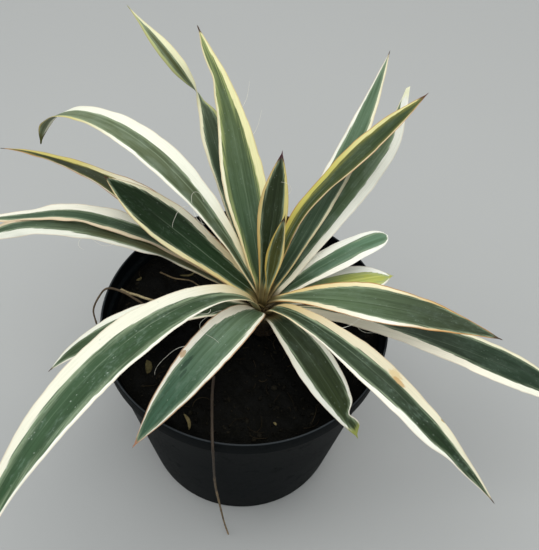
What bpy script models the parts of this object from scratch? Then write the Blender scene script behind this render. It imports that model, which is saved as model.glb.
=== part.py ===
"""A young variegated yucca standing in a round black nursery pot.

Metres, +Z up. The origin is the centre of the pot's underside, and -Y is the front. The plant is a
short crown whose sword leaves spring from it in turn, low ones outermost. A leaf is one row of LEAVES:
where it springs from the crown, which way it heads, how steeply it rises, how far it droops, and its
kinks. Headings are degrees clockwise from +Y, seen from above.
"""

import math
from dataclasses import dataclass

import bpy
import numpy as np

# Pot
POT_HEIGHT = 0.150
POT_BASE_RADIUS = 0.073
POT_NECK_RADIUS = 0.0925
POT_RIM_RADIUS = 0.095
POT_WALL = 0.0015
POT_FLOOR = 0.002
RIM_BAND = 0.0125
RIM_LIP = 0.0008
BASE_CHAMFER = 0.0012
POT_SEGMENTS = 64
DRAIN_HOLES = 8
DRAIN_RADIUS = 0.005
DRAIN_CIRCLE = 0.052
DRAIN_SEGMENTS = 12

# Clearance between pieces that touch
GAP = 0.0003

# Soil: its top sinks a little towards the wall. A swell is (height, waves along X, along Y, phase)
SOIL_HEIGHT = 0.1375
SOIL_EDGE_DROP = 0.0036
SOIL_RINGS = 9
SOIL_SWELLS = (
    (0.0009, 170, 60, 0.6),
    (0.0005, -140, 310, 1.9),
    (0.0005, 520, 430, 4.0),
)

# Crown, a little to the right of the pot's axis
CROWN_X = 0.012
CROWN_Y = -0.002
CROWN_BURIED = 0.110
CROWN_TOP = 0.1755
CROWN_FOOT_RADIUS = 0.0085
CROWN_TOP_RADIUS = 0.0040
CROWN_SEGMENTS = 24
TIER_HEIGHT = 0.157
TIER_STEP = 0.0022
TOP_TIER = 8.0

# Leaves
BLADE_THICKNESS = 0.0008
BLADE_SPACING = 0.0095
BLADE_ACROSS = 5
FOOT_REACH = 0.018
FOOT_SHARE = 0.45
TIP_SHARE = 0.05
KEEL = 0.2
FOLD_SETTLES = 0.6
FEWEST_ROWS = 8


@dataclass
class Kink:
    """A place along a leaf where it turns, tilts down or twists over a short span of its length."""

    place: float
    span: float
    turn: float = 0.0
    tilt: float = 0.0
    twist: float = 0.0


@dataclass
class Leaf:
    """One sword leaf. Shares run from 0 at the foot to 1 at the tip, and angles are in degrees."""

    name: str
    tier: float
    heading: float
    rise: float
    length: float
    width: float
    sweep: float = 0.0
    droop: float = 0.0
    late: float = 1.0
    roll: tuple = (0.0, 0.0)
    neck: float = 0.62
    peak: float = 0.5
    taper: float = 1.7
    fold: tuple = (25.0, 6.0)
    kinks: tuple = ()
    end: float = 1.0
    foot: float = None
    color: tuple = (0.16, 0.27, 0.20)


LEAVES = (
    Leaf("leaf_back_kinked", 5, -23.5, 34, 0.206, 0.0165, sweep=-1, droop=3, neck=0.75,
         kinks=(Kink(0.66, 0.12, turn=-29, twist=-100), Kink(0.80, 0.26, turn=-4, twist=-80))),
    Leaf("leaf_back_upright", 8, -20, 50, 0.170, 0.028, droop=20, neck=0.52, peak=0.4, taper=1.4,
         kinks=(Kink(0.72, 0.40, turn=-13),)),
    Leaf("leaf_heart_spear", 9, 10, 64, 0.092, 0.021, droop=-4, neck=0.35, peak=0.62, fold=(42, 32),
         foot=-60, color=(0.06, 0.10, 0.04)),
    Leaf("leaf_heart_bud", 9, 24, 72, 0.058, 0.013, neck=0.4, fold=(50, 30), foot=125,
         color=(0.22, 0.20, 0.05)),
    Leaf("leaf_back_folded", 7.7, 25, 44, 0.162, 0.023, sweep=38, droop=24, roll=(20, 10), neck=0.42,
         peak=0.6, fold=(35, 20), color=(0.27, 0.27, 0.09)),
    Leaf("leaf_back_right", 6.8, 34, 33, 0.179, 0.022, sweep=-15, droop=6, roll=(20, 30)),
    Leaf("leaf_right_curled", 5.5, 38, 25, 0.187, 0.022, sweep=-1, droop=4, taper=1.5, end=0.93,
         kinks=(Kink(0.72, 0.20, turn=-23, twist=60),)),
    Leaf("leaf_right_blunt", 4, 55, 22, 0.102, 0.021, sweep=9, droop=21, taper=2.2, end=0.86),
    Leaf("leaf_right_small", 1.5, 67, 11, 0.083, 0.027, sweep=4, droop=20, neck=0.40, taper=3.0),
    Leaf("leaf_right_broad", 6, 98, 51, 0.155, 0.030, sweep=1, droop=78, late=0.5, neck=0.35, peak=0.42),
    Leaf("leaf_right_low", 1, 96, 27, 0.240, 0.0295, droop=62, late=0.42, neck=0.25, peak=0.65),
    Leaf("leaf_front_right_long", 3.5, 137, 68, 0.191, 0.0215, sweep=-13, droop=108, late=0.5, neck=0.5),
    Leaf("leaf_front_right_short", 1, 142, 40, 0.097, 0.026, droop=75, late=0.5, taper=2.0),
    Leaf("leaf_front_left_short", 2.7, -153, 83, 0.129, 0.027, sweep=13, droop=124, late=0.45, neck=0.6,
         peak=0.35, taper=2.2),
    Leaf("leaf_front_left_long", 3.9, -131, 79, 0.258, 0.027, sweep=-29, droop=120, late=0.6, neck=0.46),
    Leaf("leaf_left_small", 1, -104, 31, 0.150, 0.022, sweep=-2, droop=82, late=0.8),
    Leaf("leaf_left_upper", 3.2, -62, 22.5, 0.225, 0.018, sweep=-22, droop=57, late=1.2),
    Leaf("leaf_left_lower", 2, -66, 19, 0.222, 0.0150, sweep=-20, droop=60, late=1.4, roll=(-10, 35)),
    Leaf("leaf_left_twisted", 4.3, -56, 28, 0.210, 0.0235, sweep=-17, droop=44, late=1.3, peak=0.38, taper=1.5,
         kinks=(Kink(0.56, 0.20, twist=-18),)),
    Leaf("leaf_left_broad", 5.8, -66, 28, 0.118, 0.030, sweep=-2, droop=6, neck=0.52, peak=0.6, taper=2.0,
         color=(0.08, 0.14, 0.07)),
    Leaf("leaf_left_arching", 6.8, -54, 54, 0.238, 0.0260, sweep=-8, droop=130, late=1.7, roll=(-12, 0),
         neck=0.38, peak=0.45, taper=1.3, kinks=(Kink(0.90, 0.16, twist=40),)),
)

# Dry litter: a straw from the soil over the front of the rim to the floor, and a wiry root on the left
STRAW_RADIUS = 0.0010
STRAW_ROUTE = (
    (-0.0160, -0.0600, 0.1435),
    (-0.0160, -0.0800, 0.1503),
    (-0.0155, -0.0935, 0.1513),
    (-0.0150, -0.0985, 0.1440),
    (-0.0130, -0.0975, 0.1000),
    (-0.0100, -0.0900, 0.0500),
    (-0.0070, -0.0890, 0.0120),
    (-0.0030, -0.0960, 0.0022),
    (0.0020, -0.1100, 0.0012),
)
ROOT_RADIUS = 0.0009
ROOT_ROUTE = (
    (-0.0660, 0.0040, 0.1435),
    (-0.0820, 0.0100, 0.1502),
    (-0.0935, 0.0120, 0.1512),
    (-0.0990, 0.0080, 0.1470),
    (-0.1020, 0.0000, 0.1420),
    (-0.0990, -0.0080, 0.1370),
)
ROUTE_STEPS = 4


def clear_scene():
    """Removes every object of the scene."""
    for thing in list(bpy.data.objects):
        bpy.data.objects.remove(thing, do_unlink=True)


def new_collection(name):
    """Makes a collection in the scene."""
    collection = bpy.data.collections.new(name)
    bpy.context.scene.collection.children.link(collection)
    return collection


def plain_material(name, color, roughness):
    """Makes a material of one colour."""
    material = bpy.data.materials.new(name)
    material.use_nodes = True
    shader = material.node_tree.nodes["Principled BSDF"]
    shader.inputs["Base Color"].default_value = (*color, 1.0)
    shader.inputs["Roughness"].default_value = roughness
    return material


def add_object(name, data, collection, material):
    """Links new object data into a collection, with its own material."""
    thing = bpy.data.objects.new(name, data)
    collection.objects.link(thing)
    data.materials.append(material)
    return thing


def turned(name, profile, segments, collection, material):
    """A turned solid: the profile, in (radius, height) pairs, carried round +Z by a Screw modifier."""
    mesh = bpy.data.meshes.new(name)
    points = [(radius, 0.0, height) for radius, height in profile]
    mesh.from_pydata(points, [(i, i + 1) for i in range(len(points) - 1)], [])
    thing = add_object(name, mesh, collection, material)
    screw = thing.modifiers.new("Turn", "SCREW")
    screw.axis = "Z"
    screw.angle = math.tau
    screw.steps = segments
    screw.render_steps = segments
    screw.use_merge_vertices = True
    screw.merge_threshold = 0.00001
    screw.use_smooth_shade = True
    return thing


def applied(thing):
    """Replaces an object's modifiers by the mesh that they make."""
    graph = bpy.context.evaluated_depsgraph_get()
    graph.update()
    mesh = bpy.data.meshes.new_from_object(thing.evaluated_get(graph))
    thing.modifiers.clear()
    thing.data = mesh


def cut(thing, cutter, name):
    """Takes a cutter's shape out of an object."""
    boolean = thing.modifiers.new(name, "BOOLEAN")
    boolean.operation = "DIFFERENCE"
    boolean.solver = "EXACT"
    boolean.object = cutter


def cylinder_cutter(name, radius, low, high, x, y, segments, collection):
    """A plain upright cylinder that only cuts."""
    bpy.ops.mesh.primitive_cylinder_add(
        vertices=segments, radius=radius, depth=high - low, location=(x, y, (low + high) / 2)
    )
    cutter = bpy.context.active_object
    cutter.name = name
    for home in list(cutter.users_collection):
        home.objects.unlink(cutter)
    collection.objects.link(cutter)
    cutter.hide_render = True
    cutter.display_type = "WIRE"
    return cutter


def wall_radius(height):
    """Outer radius of the pot's tapered wall at a height under the rim band."""
    share = height / (POT_HEIGHT - RIM_BAND)
    return POT_BASE_RADIUS + (POT_NECK_RADIUS - POT_BASE_RADIUS) * share


def build_pot(parts, cutters):
    """The pot: a tapered thin wall with a proud rim band, a flat floor and drain holes."""
    band_low = POT_HEIGHT - RIM_BAND
    inner_rim = POT_RIM_RADIUS - POT_WALL
    profile = [
        (0.0, POT_FLOOR),
        (wall_radius(POT_FLOOR) - POT_WALL, POT_FLOOR),
        (POT_NECK_RADIUS - POT_WALL, band_low),
        (inner_rim, band_low + POT_WALL),
        (inner_rim, POT_HEIGHT - RIM_LIP),
        (inner_rim + POT_WALL / 2, POT_HEIGHT),
        (POT_RIM_RADIUS, POT_HEIGHT - RIM_LIP),
        (POT_RIM_RADIUS - RIM_LIP / 4, band_low + RIM_LIP),
        (POT_RIM_RADIUS - RIM_LIP, band_low),
        (POT_NECK_RADIUS, band_low - RIM_LIP / 2),
        (POT_BASE_RADIUS, BASE_CHAMFER),
        (POT_BASE_RADIUS - BASE_CHAMFER, 0.0),
        (0.0, 0.0),
    ]
    plastic = plain_material("pot_plastic", (0.012, 0.013, 0.016), 0.45)
    pot = turned("pot", profile, POT_SEGMENTS, parts, plastic)
    for i in range(DRAIN_HOLES):
        angle = math.tau * i / DRAIN_HOLES
        cutter = cylinder_cutter(
            f"drain_cutter_{i}", DRAIN_RADIUS, -POT_FLOOR, 2 * POT_FLOOR,
            DRAIN_CIRCLE * math.cos(angle), DRAIN_CIRCLE * math.sin(angle), DRAIN_SEGMENTS, cutters,
        )
        cut(pot, cutter, f"Drain {i}")


def soil_relief(x, y):
    """Height of the soil's lumps at a place: the sum of crossed swells of different length."""
    return sum(height * np.sin(kx * x + ky * y + phase) for height, kx, ky, phase in SOIL_SWELLS)


def build_soil(parts, cutters):
    """The soil: it fills the pot from the floor to just under the rim band, lumpy on top."""
    low = POT_FLOOR + GAP
    low_radius = wall_radius(low) - POT_WALL - GAP
    edge = SOIL_HEIGHT - SOIL_EDGE_DROP
    edge_radius = wall_radius(edge) - POT_WALL - GAP
    profile = [(edge_radius * i / SOIL_RINGS, SOIL_HEIGHT) for i in range(SOIL_RINGS)]
    profile += [(edge_radius, edge), (low_radius, low), (0.0, low)]
    peat = plain_material("peat_soil", (0.018, 0.013, 0.010), 0.95)
    soil = turned("soil", profile, POT_SEGMENTS, parts, peat)
    applied(soil)
    places = np.empty(len(soil.data.vertices) * 3)
    soil.data.vertices.foreach_get("co", places)
    places = places.reshape(-1, 3)
    top = places[:, 2] > edge + SOIL_EDGE_DROP / 2
    places[top, 2] += soil_relief(places[top, 0], places[top, 1])
    soil.data.vertices.foreach_set("co", places.ravel())
    hole = cylinder_cutter(
        "crown_hole_cutter", CROWN_FOOT_RADIUS + GAP, CROWN_BURIED - GAP, POT_HEIGHT,
        CROWN_X, CROWN_Y, CROWN_SEGMENTS, cutters,
    )
    cut(soil, hole, "Crown hole")


def crown_radius(height):
    """Radius of the crown at a height: level in the soil, then narrowing to its top."""
    share = np.clip((height - TIER_HEIGHT) / (CROWN_TOP - TIER_HEIGHT), 0.0, 1.0)
    return CROWN_FOOT_RADIUS + (CROWN_TOP_RADIUS - CROWN_FOOT_RADIUS) * share


def build_crown(parts):
    """The crown: the short stem that every leaf springs from, standing in its hole in the soil."""
    profile = [
        (0.0, CROWN_TOP),
        (CROWN_TOP_RADIUS, CROWN_TOP),
        (CROWN_FOOT_RADIUS, TIER_HEIGHT),
        (CROWN_FOOT_RADIUS, CROWN_BURIED),
        (0.0, CROWN_BURIED),
    ]
    bark = plain_material("crown_bark", (0.10, 0.08, 0.04), 0.8)
    crown = turned("crown", profile, CROWN_SEGMENTS, parts, bark)
    crown.location = (CROWN_X, CROWN_Y, 0.0)


def ease(share):
    """Smooth step from 0 to 1."""
    share = np.clip(share, 0.0, 1.0)
    return share * share * (3 - 2 * share)


def leaf_spine(leaf, along):
    """Middle line of a leaf and its frame: places, sideways directions and upward directions.

    The direction turns evenly from the heading by the sweep, falls from the rise by the droop, and each
    kink adds its own smooth step. The middle line is the running sum of the directions.
    """
    heading = leaf.heading + leaf.sweep * along
    pitch = leaf.rise - leaf.droop * along**leaf.late
    roll = leaf.roll[0] + (leaf.roll[1] - leaf.roll[0]) * ease(along)
    for kink in leaf.kinks:
        step = ease((along - kink.place) / kink.span + 0.5)
        heading = heading + kink.turn * step
        pitch = pitch - kink.tilt * step
        roll = roll + kink.twist * step
    heading, pitch, roll = np.radians(heading), np.radians(pitch), np.radians(roll)
    level = np.stack([np.sin(heading), np.cos(heading), np.zeros_like(heading)], axis=1)
    forward = level * np.cos(pitch)[:, None]
    forward[:, 2] = np.sin(pitch)
    side = np.stack([np.cos(heading), -np.sin(heading), np.zeros_like(heading)], axis=1)
    up = np.cross(side, forward)
    turned_side = side * np.cos(roll)[:, None] + up * np.sin(roll)[:, None]
    turned_up = up * np.cos(roll)[:, None] - side * np.sin(roll)[:, None]
    steps = (forward[1:] + forward[:-1]) / 2 * (leaf.length * np.diff(along))[:, None]
    line = np.vstack([np.zeros(3), np.cumsum(steps, axis=0)])
    return leaf_foot(leaf) + line, turned_side, turned_up


def leaf_foot(leaf):
    """Where a leaf springs: just clear of the crown's side at its tier, or of its top for the heart."""
    side_angle = math.radians(leaf.heading if leaf.foot is None else leaf.foot)
    height = TIER_HEIGHT + TIER_STEP * leaf.tier
    reach = crown_radius(height) + GAP + BLADE_THICKNESS / 2
    if leaf.tier > TOP_TIER:
        height = CROWN_TOP + GAP + BLADE_THICKNESS
        reach = CROWN_TOP_RADIUS / 2
    return np.array([
        CROWN_X + reach * math.sin(side_angle),
        CROWN_Y + reach * math.cos(side_angle),
        height,
    ])


def half_widths(leaf, along):
    """Half the width along a leaf: a slim foot, a neck, the widest place, then a taper to the tip."""
    swell = leaf.neck + (1 - leaf.neck) * ease(along / leaf.peak)
    past = np.clip((along - leaf.peak) / (1 - leaf.peak), 0.0, 1.0)
    taper = np.maximum(1 - past**leaf.taper, TIP_SHARE)
    foot = FOOT_SHARE + (1 - FOOT_SHARE) * ease(along * leaf.length / FOOT_REACH)
    return 0.5 * leaf.width * swell * taper * foot


def leaf_grid(leaf):
    """Grid of places over a leaf's blade, along and across, with its two sides folded up."""
    rows = max(FEWEST_ROWS, round(leaf.end * leaf.length / BLADE_SPACING))
    along = np.linspace(0.0, leaf.end, rows + 1)
    line, side, up = leaf_spine(leaf, along)
    reach = half_widths(leaf, along)[:, None]
    across = np.linspace(-1.0, 1.0, BLADE_ACROSS)[None, :]
    fold = np.radians(leaf.fold[0] + (leaf.fold[1] - leaf.fold[0]) * ease(along / FOLD_SETTLES))[:, None]
    out = reach * across * np.cos(fold)
    lift = reach * (np.sqrt(across**2 + KEEL**2) - KEEL) * np.sin(fold)
    return line[:, None] + out[..., None] * side[:, None] + lift[..., None] * up[:, None]


def build_leaf(leaf, parts):
    """A leaf: its blade as an open sheet of triangles, thickened evenly to both sides."""
    grid = leaf_grid(leaf)
    rows, columns = grid.shape[:2]
    corner = np.arange(rows * columns).reshape(rows, columns)
    a, b = corner[:-1, :-1].ravel(), corner[:-1, 1:].ravel()
    c, d = corner[1:, 1:].ravel(), corner[1:, :-1].ravel()
    faces = np.vstack([np.stack([a, b, c], axis=1), np.stack([a, c, d], axis=1)])
    mesh = bpy.data.meshes.new(leaf.name)
    mesh.from_pydata(grid.reshape(-1, 3).tolist(), [], faces.tolist())
    mesh.shade_smooth()
    thing = add_object(leaf.name, mesh, parts, plain_material(leaf.name + "_green", leaf.color, 0.5))
    thick = thing.modifiers.new("Thickness", "SOLIDIFY")
    thick.thickness = BLADE_THICKNESS
    thick.offset = 0.0


def build_strand(name, points, radius, parts, material):
    """A thin dry strand: a bevelled curve through its points, smoothed and with closed ends."""
    curve = bpy.data.curves.new(name, "CURVE")
    curve.dimensions = "3D"
    curve.bevel_depth = radius
    curve.bevel_resolution = 1
    curve.use_fill_caps = True
    spline = curve.splines.new("POLY")
    smooth = smooth_route(np.array(points))
    spline.points.add(len(smooth) - 1)
    for point, place in zip(spline.points, smooth):
        point.co = (*place, 1.0)
    add_object(name, curve, parts, material)


def smooth_route(points):
    """Places on a smooth curve through the points: each stretch blends its neighbours' slopes."""
    ahead = np.vstack([points[1:], 2 * points[-1] - points[-2]])
    behind = np.vstack([2 * points[0] - points[1], points[:-1]])
    slope = (ahead - behind) / 2
    t = np.linspace(0.0, 1.0, ROUTE_STEPS, endpoint=False)[:, None]
    places = [
        (2 * t**3 - 3 * t**2 + 1) * points[i] + (t**3 - 2 * t**2 + t) * slope[i]
        + (3 * t**2 - 2 * t**3) * points[i + 1] + (t**3 - t**2) * slope[i + 1]
        for i in range(len(points) - 1)
    ]
    return np.vstack([*places, points[-1:]])


def build_litter(parts):
    """The dry straw that hangs over the front of the rim, and the wiry root over its left side."""
    straw_tan = plain_material("dry_straw_tan", (0.42, 0.30, 0.14), 0.7)
    root_brown = plain_material("wiry_root_brown", (0.07, 0.045, 0.02), 0.7)
    build_strand("dry_straw", STRAW_ROUTE, STRAW_RADIUS, parts, straw_tan)
    build_strand("wiry_root", ROOT_ROUTE, ROOT_RADIUS, parts, root_brown)


def main():
    """Builds the pot, the soil, the crown, the leaves and the litter."""
    clear_scene()
    parts = new_collection("potted_yucca")
    cutters = new_collection("cutters")
    build_pot(parts, cutters)
    build_soil(parts, cutters)
    build_crown(parts)
    for leaf in LEAVES:
        build_leaf(leaf, parts)
    build_litter(parts)


main()
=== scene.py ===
"""A young variegated yucca standing in a round black nursery pot.

Metres, +Z up. The origin is the centre of the pot's underside, and -Y is the front. Each leaf is one row:
where it springs from the crown, how it heads, rises and droops, and how its blade is marked. Headings are
degrees clockwise from +Y, seen from above. A blade's own measures across and along it are in millimetres.
"""

import logging
import math
from dataclasses import dataclass, field
from enum import Enum

import bpy
import numpy as np
from mathutils import Matrix, Vector


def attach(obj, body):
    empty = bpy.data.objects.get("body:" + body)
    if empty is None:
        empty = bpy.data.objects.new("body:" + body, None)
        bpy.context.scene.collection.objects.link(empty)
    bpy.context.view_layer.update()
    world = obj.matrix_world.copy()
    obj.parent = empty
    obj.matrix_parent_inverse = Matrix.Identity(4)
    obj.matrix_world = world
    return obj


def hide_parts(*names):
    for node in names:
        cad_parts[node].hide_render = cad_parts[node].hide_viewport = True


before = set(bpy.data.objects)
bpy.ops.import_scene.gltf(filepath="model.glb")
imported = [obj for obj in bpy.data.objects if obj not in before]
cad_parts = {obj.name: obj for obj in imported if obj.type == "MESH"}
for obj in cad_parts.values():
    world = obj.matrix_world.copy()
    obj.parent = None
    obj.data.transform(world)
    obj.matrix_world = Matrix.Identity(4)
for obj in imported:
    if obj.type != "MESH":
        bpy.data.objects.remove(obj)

log = logging.getLogger("potted_yucca")

Array = np.ndarray
Color = tuple[float, float, float]
Triple = tuple[float, float, float]
Pair = tuple[float, float]
Socket = bpy.types.NodeSocket
Number = Socket | float
Value = Number | tuple
Piece = bpy.types.Object
Tree = bpy.types.NodeTree
Material = bpy.types.Material

# Millimetres in a metre, the corners along a side of a noise table, and a length that stands in for nought.
MM = 1000.0
TABLE = 97
TINY = 1e-12


# Arrays


def ease(share: Array) -> Array:
    """Smooth step from 0 to 1.

    Args:
        share: Values, clipped to 0 and 1.

    Returns:
        share * share * (3 - 2 * share).
    """
    share = np.clip(share, 0.0, 1.0)
    return share * share * (3 - 2 * share)


def lumps(x: Array, y: Array, cell: float, seed: int) -> Array:
    """Smooth noise over a plane: the four corners of a place's square cell, blended with eased weights.

    Args:
        x: Places along the first axis.
        y: Places along the second axis.
        cell: Side of a cell.
        seed: Picks the values of the corners.

    Returns:
        Values from -1 to 1.
    """
    table = np.random.default_rng(seed).uniform(-1.0, 1.0, (TABLE, TABLE))
    u, v = np.broadcast_arrays(np.asarray(x) / cell, np.asarray(y) / cell)
    i, j = np.floor(u).astype(int), np.floor(v).astype(int)
    s, t = ease(u - i), ease(v - j)
    i, j, k, m = i % TABLE, j % TABLE, (i + 1) % TABLE, (j + 1) % TABLE
    return (table[i, j] * (1 - s) + table[k, j] * s) * (1 - t) + (table[i, m] * (1 - s) + table[k, m] * s) * t


def smooth_route(points: Array, steps: int) -> Array:
    """Places on a smooth curve through points: cubic stretches whose slopes are half the neighbours' span.

    Args:
        points: The points, one row each.
        steps: Places on each stretch.

    Returns:
        The places, one row each, the last point included.
    """
    points = np.asarray(points, float)
    ahead = np.vstack([points[1:], 2 * points[-1] - points[-2]])
    behind = np.vstack([2 * points[0] - points[1], points[:-1]])
    slope = (ahead - behind) / 2
    t = np.linspace(0.0, 1.0, steps, endpoint=False)[None, :, None]
    start, stop = points[:-1, None], points[1:, None]
    places = (
        (2 * t**3 - 3 * t**2 + 1) * start + (t**3 - 2 * t**2 + t) * slope[:-1, None]
        + (3 * t**2 - 2 * t**3) * stop + (t**3 - t**2) * slope[1:, None]
    )
    return np.vstack([places.reshape(-1, points.shape[1]), points[-1:]])


def rounded(profile: list[Pair], radius: float, steps: int = 4) -> Array:
    """Rounds each inner corner of a profile with a short parabola between points on its two sides.

    Args:
        profile: (radius, height) pairs.
        radius: How far from a corner its rounding starts, at most a third of the shorter side.
        steps: Points on each rounding.

    Returns:
        The rounded profile, one row a point.
    """
    line = np.asarray(profile, float)
    before, corner, after = line[:-2], line[1:-1], line[2:]
    back, on = before - corner, after - corner
    back_length = np.linalg.norm(back, axis=1, keepdims=True)
    on_length = np.linalg.norm(on, axis=1, keepdims=True)
    reach = np.minimum(radius, np.minimum(back_length, on_length) / 3)
    start, stop = corner + back / back_length * reach, corner + on / on_length * reach
    t = np.linspace(0.0, 1.0, steps)[None, :, None]
    arcs = (1 - t) ** 2 * start[:, None] + 2 * t * (1 - t) * corner[:, None] + t**2 * stop[:, None]
    return np.vstack([line[:1], arcs.reshape(-1, 2), line[-1:]])


# Meshes


def make_piece(name: str, points: Array, quads: Array, triangles: Array | None = None,
               marks: dict[str, Array] | None = None) -> Piece:
    """Makes a smooth-shaded mesh object from whole arrays.

    Args:
        name: The piece's name.
        points: Places, one row each.
        quads: Four corners a row.
        triangles: Three corners a row.
        marks: Named values of the points, of one number or of three.

    Returns:
        The object, linked into the scene.
    """
    triangles = np.zeros((0, 3), int) if triangles is None else triangles
    corners = np.concatenate([np.ravel(quads), np.ravel(triangles)]).astype(np.int32)
    starts = np.concatenate([4 * np.arange(len(quads)), 4 * len(quads) + 3 * np.arange(len(triangles))])
    mesh = bpy.data.meshes.new(name)
    mesh.vertices.add(len(points))
    mesh.vertices.foreach_set("co", np.ravel(points).astype(np.float32))
    mesh.loops.add(len(corners))
    mesh.loops.foreach_set("vertex_index", corners)
    mesh.polygons.add(len(starts))
    mesh.polygons.foreach_set("loop_start", starts.astype(np.int32))
    mesh.update(calc_edges=True)
    for mark, values in (marks or {}).items():
        several = values.ndim == 2
        layer = mesh.attributes.new(mark, "FLOAT_VECTOR" if several else "FLOAT", "POINT")
        layer.data.foreach_set("vector" if several else "value", np.ravel(values).astype(np.float32))
    mesh.shade_smooth()
    piece = bpy.data.objects.new(name, mesh)
    bpy.context.scene.collection.objects.link(piece)
    return piece


def ring_faces(rings: int, around: int) -> Array:
    """Quads between closed rings of points: each joins two neighbours on a ring to those on the next ring.

    Args:
        rings: Number of rings.
        around: Points on a ring.

    Returns:
        Four corners a row.
    """
    ring = np.arange(rings - 1)[:, None] * around
    here = np.arange(around)[None, :]
    there = (here + 1) % around
    return np.stack([ring + here, ring + there, ring + around + there, ring + around + here], -1).reshape(-1, 4)


def pole_faces(pole: int, first: int, around: int, at_start: bool) -> Array:
    """A fan of triangles from a pole to a ring.

    Args:
        pole: The pole's point.
        first: The ring's first point.
        around: Points on the ring.
        at_start: Whether the pole closes the first ring, and not the last one.

    Returns:
        Three corners a row.
    """
    here = first + np.arange(around)
    there = first + (np.arange(around) + 1) % around
    apex = np.full(around, pole)
    return np.stack([apex, there, here] if at_start else [here, there, apex], -1)


def end_fans(rings: int, around: int) -> Array:
    """The fans that close both ends of a run of rings, whose two poles come after all the rings' points.

    Args:
        rings: Number of rings.
        around: Points on a ring.

    Returns:
        Three corners a row.
    """
    count = rings * around
    return np.vstack([pole_faces(count, 0, around, True), pole_faces(count + 1, count - around, around, False)])


def tubes(routes: Array, radii: Array, sides: int) -> tuple[Array, Array, Array]:
    """Round tubes along routes of equal point counts, each closed by a point at both ends.

    A ring lies across the route's direction there: its two axes are the direction's cross products with
    a fixed slanting line.

    Args:
        routes: Places, by tube, step and axis.
        radii: Radius by tube and step.
        sides: Sides of a tube.

    Returns:
        The points, the quads and the triangles.
    """
    count, steps = routes.shape[:2]
    ahead = np.gradient(routes, axis=1)
    ahead /= np.linalg.norm(ahead, axis=2, keepdims=True) + TINY
    first = np.cross(ahead, np.array([0.35, 0.22, 0.91]))
    first /= np.linalg.norm(first, axis=2, keepdims=True) + TINY
    second = np.cross(ahead, first)
    angle = np.arange(sides) * math.tau / sides
    rings = routes[:, :, None] + radii[:, :, None, None] * (
        first[:, :, None] * np.cos(angle)[:, None] + second[:, :, None] * np.sin(angle)[:, None]
    )
    ends = np.stack([routes[:, 0] - ahead[:, 0] * radii[:, :1], routes[:, -1] + ahead[:, -1] * radii[:, -1:]], 1)
    points = np.concatenate([rings.reshape(count, -1, 3), ends], 1)
    size = steps * sides + 2
    shift = (np.arange(count) * size)[:, None, None]
    quads = (ring_faces(steps, sides)[None] + shift).reshape(-1, 4)
    fans = (end_fans(steps, sides)[None] + shift).reshape(-1, 3)
    return points.reshape(-1, 3), quads, fans


def squeezed(points: Array, routes: Array, sides: int, across: Array, share: float) -> Array:
    """Flattens tubes: each point keeps a share of its way out from its route in one direction.

    Args:
        points: The points that `tubes` gives.
        routes: The routes of the tubes.
        sides: The points on a ring.
        across: One unit direction for each tube.
        share: The share that is kept.

    Returns:
        The new points.
    """
    middles = np.concatenate([np.repeat(routes, sides, axis=1), routes[:, :1], routes[:, -1:]], axis=1)
    across = np.repeat(across, middles.shape[1], axis=0)
    out = ((points - middles.reshape(-1, 3)) * across).sum(1, keepdims=True)
    return points - (1 - share) * out * across


def ringed(name: str, rings: Array, poles: Array, inward: bool = False) -> Piece:
    """A solid whose skin runs from ring to ring, and is closed by a point at each end.

    Args:
        name: The piece's name.
        rings: Places, by ring, step and axis.
        poles: The first and the last point.
        inward: Whether the faces would look inwards, and are turned round.

    Returns:
        The object.
    """
    count, around = rings.shape[:2]
    quads, fans = ring_faces(count, around), end_fans(count, around)
    if inward:
        quads, fans = quads[:, ::-1], fans[:, ::-1]
    return make_piece(name, np.vstack([rings.reshape(-1, 3), poles]), quads, fans)


def dress(piece: Piece, material: Material, slot: str, *nodes: str) -> None:
    """Gives a piece its material, rides it on the part's one body, and has it stand for nodes.

    Args:
        piece: The piece.
        material: Its finish.
        slot: The name of a material slot, which is not used.
        nodes: The CAD nodes that it stands for.
    """
    piece.data.materials.clear()
    piece.data.materials.append(material)
    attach(piece, "root")
    if nodes:
        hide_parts(*nodes)
    log.info("%s: %d faces", piece.name, len(piece.data.polygons))


# Shader nodes


class Kind(Enum):
    """What a node group's socket carries."""

    NUMBER = "NodeSocketFloat"
    COLOR = "NodeSocketColor"
    VECTOR = "NodeSocketVector"


# A Mix node's colour sockets come after its number and vector sockets, which share their names.
MIX_SHARE, MIX_FIRST, MIX_SECOND, MIX_RESULT = 0, 6, 7, 2

# How far apart in the noise two seeds that differ by one lie.
SEED_STEP = 3.71


Sockets = dict[Kind, tuple[str, ...]]


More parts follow.
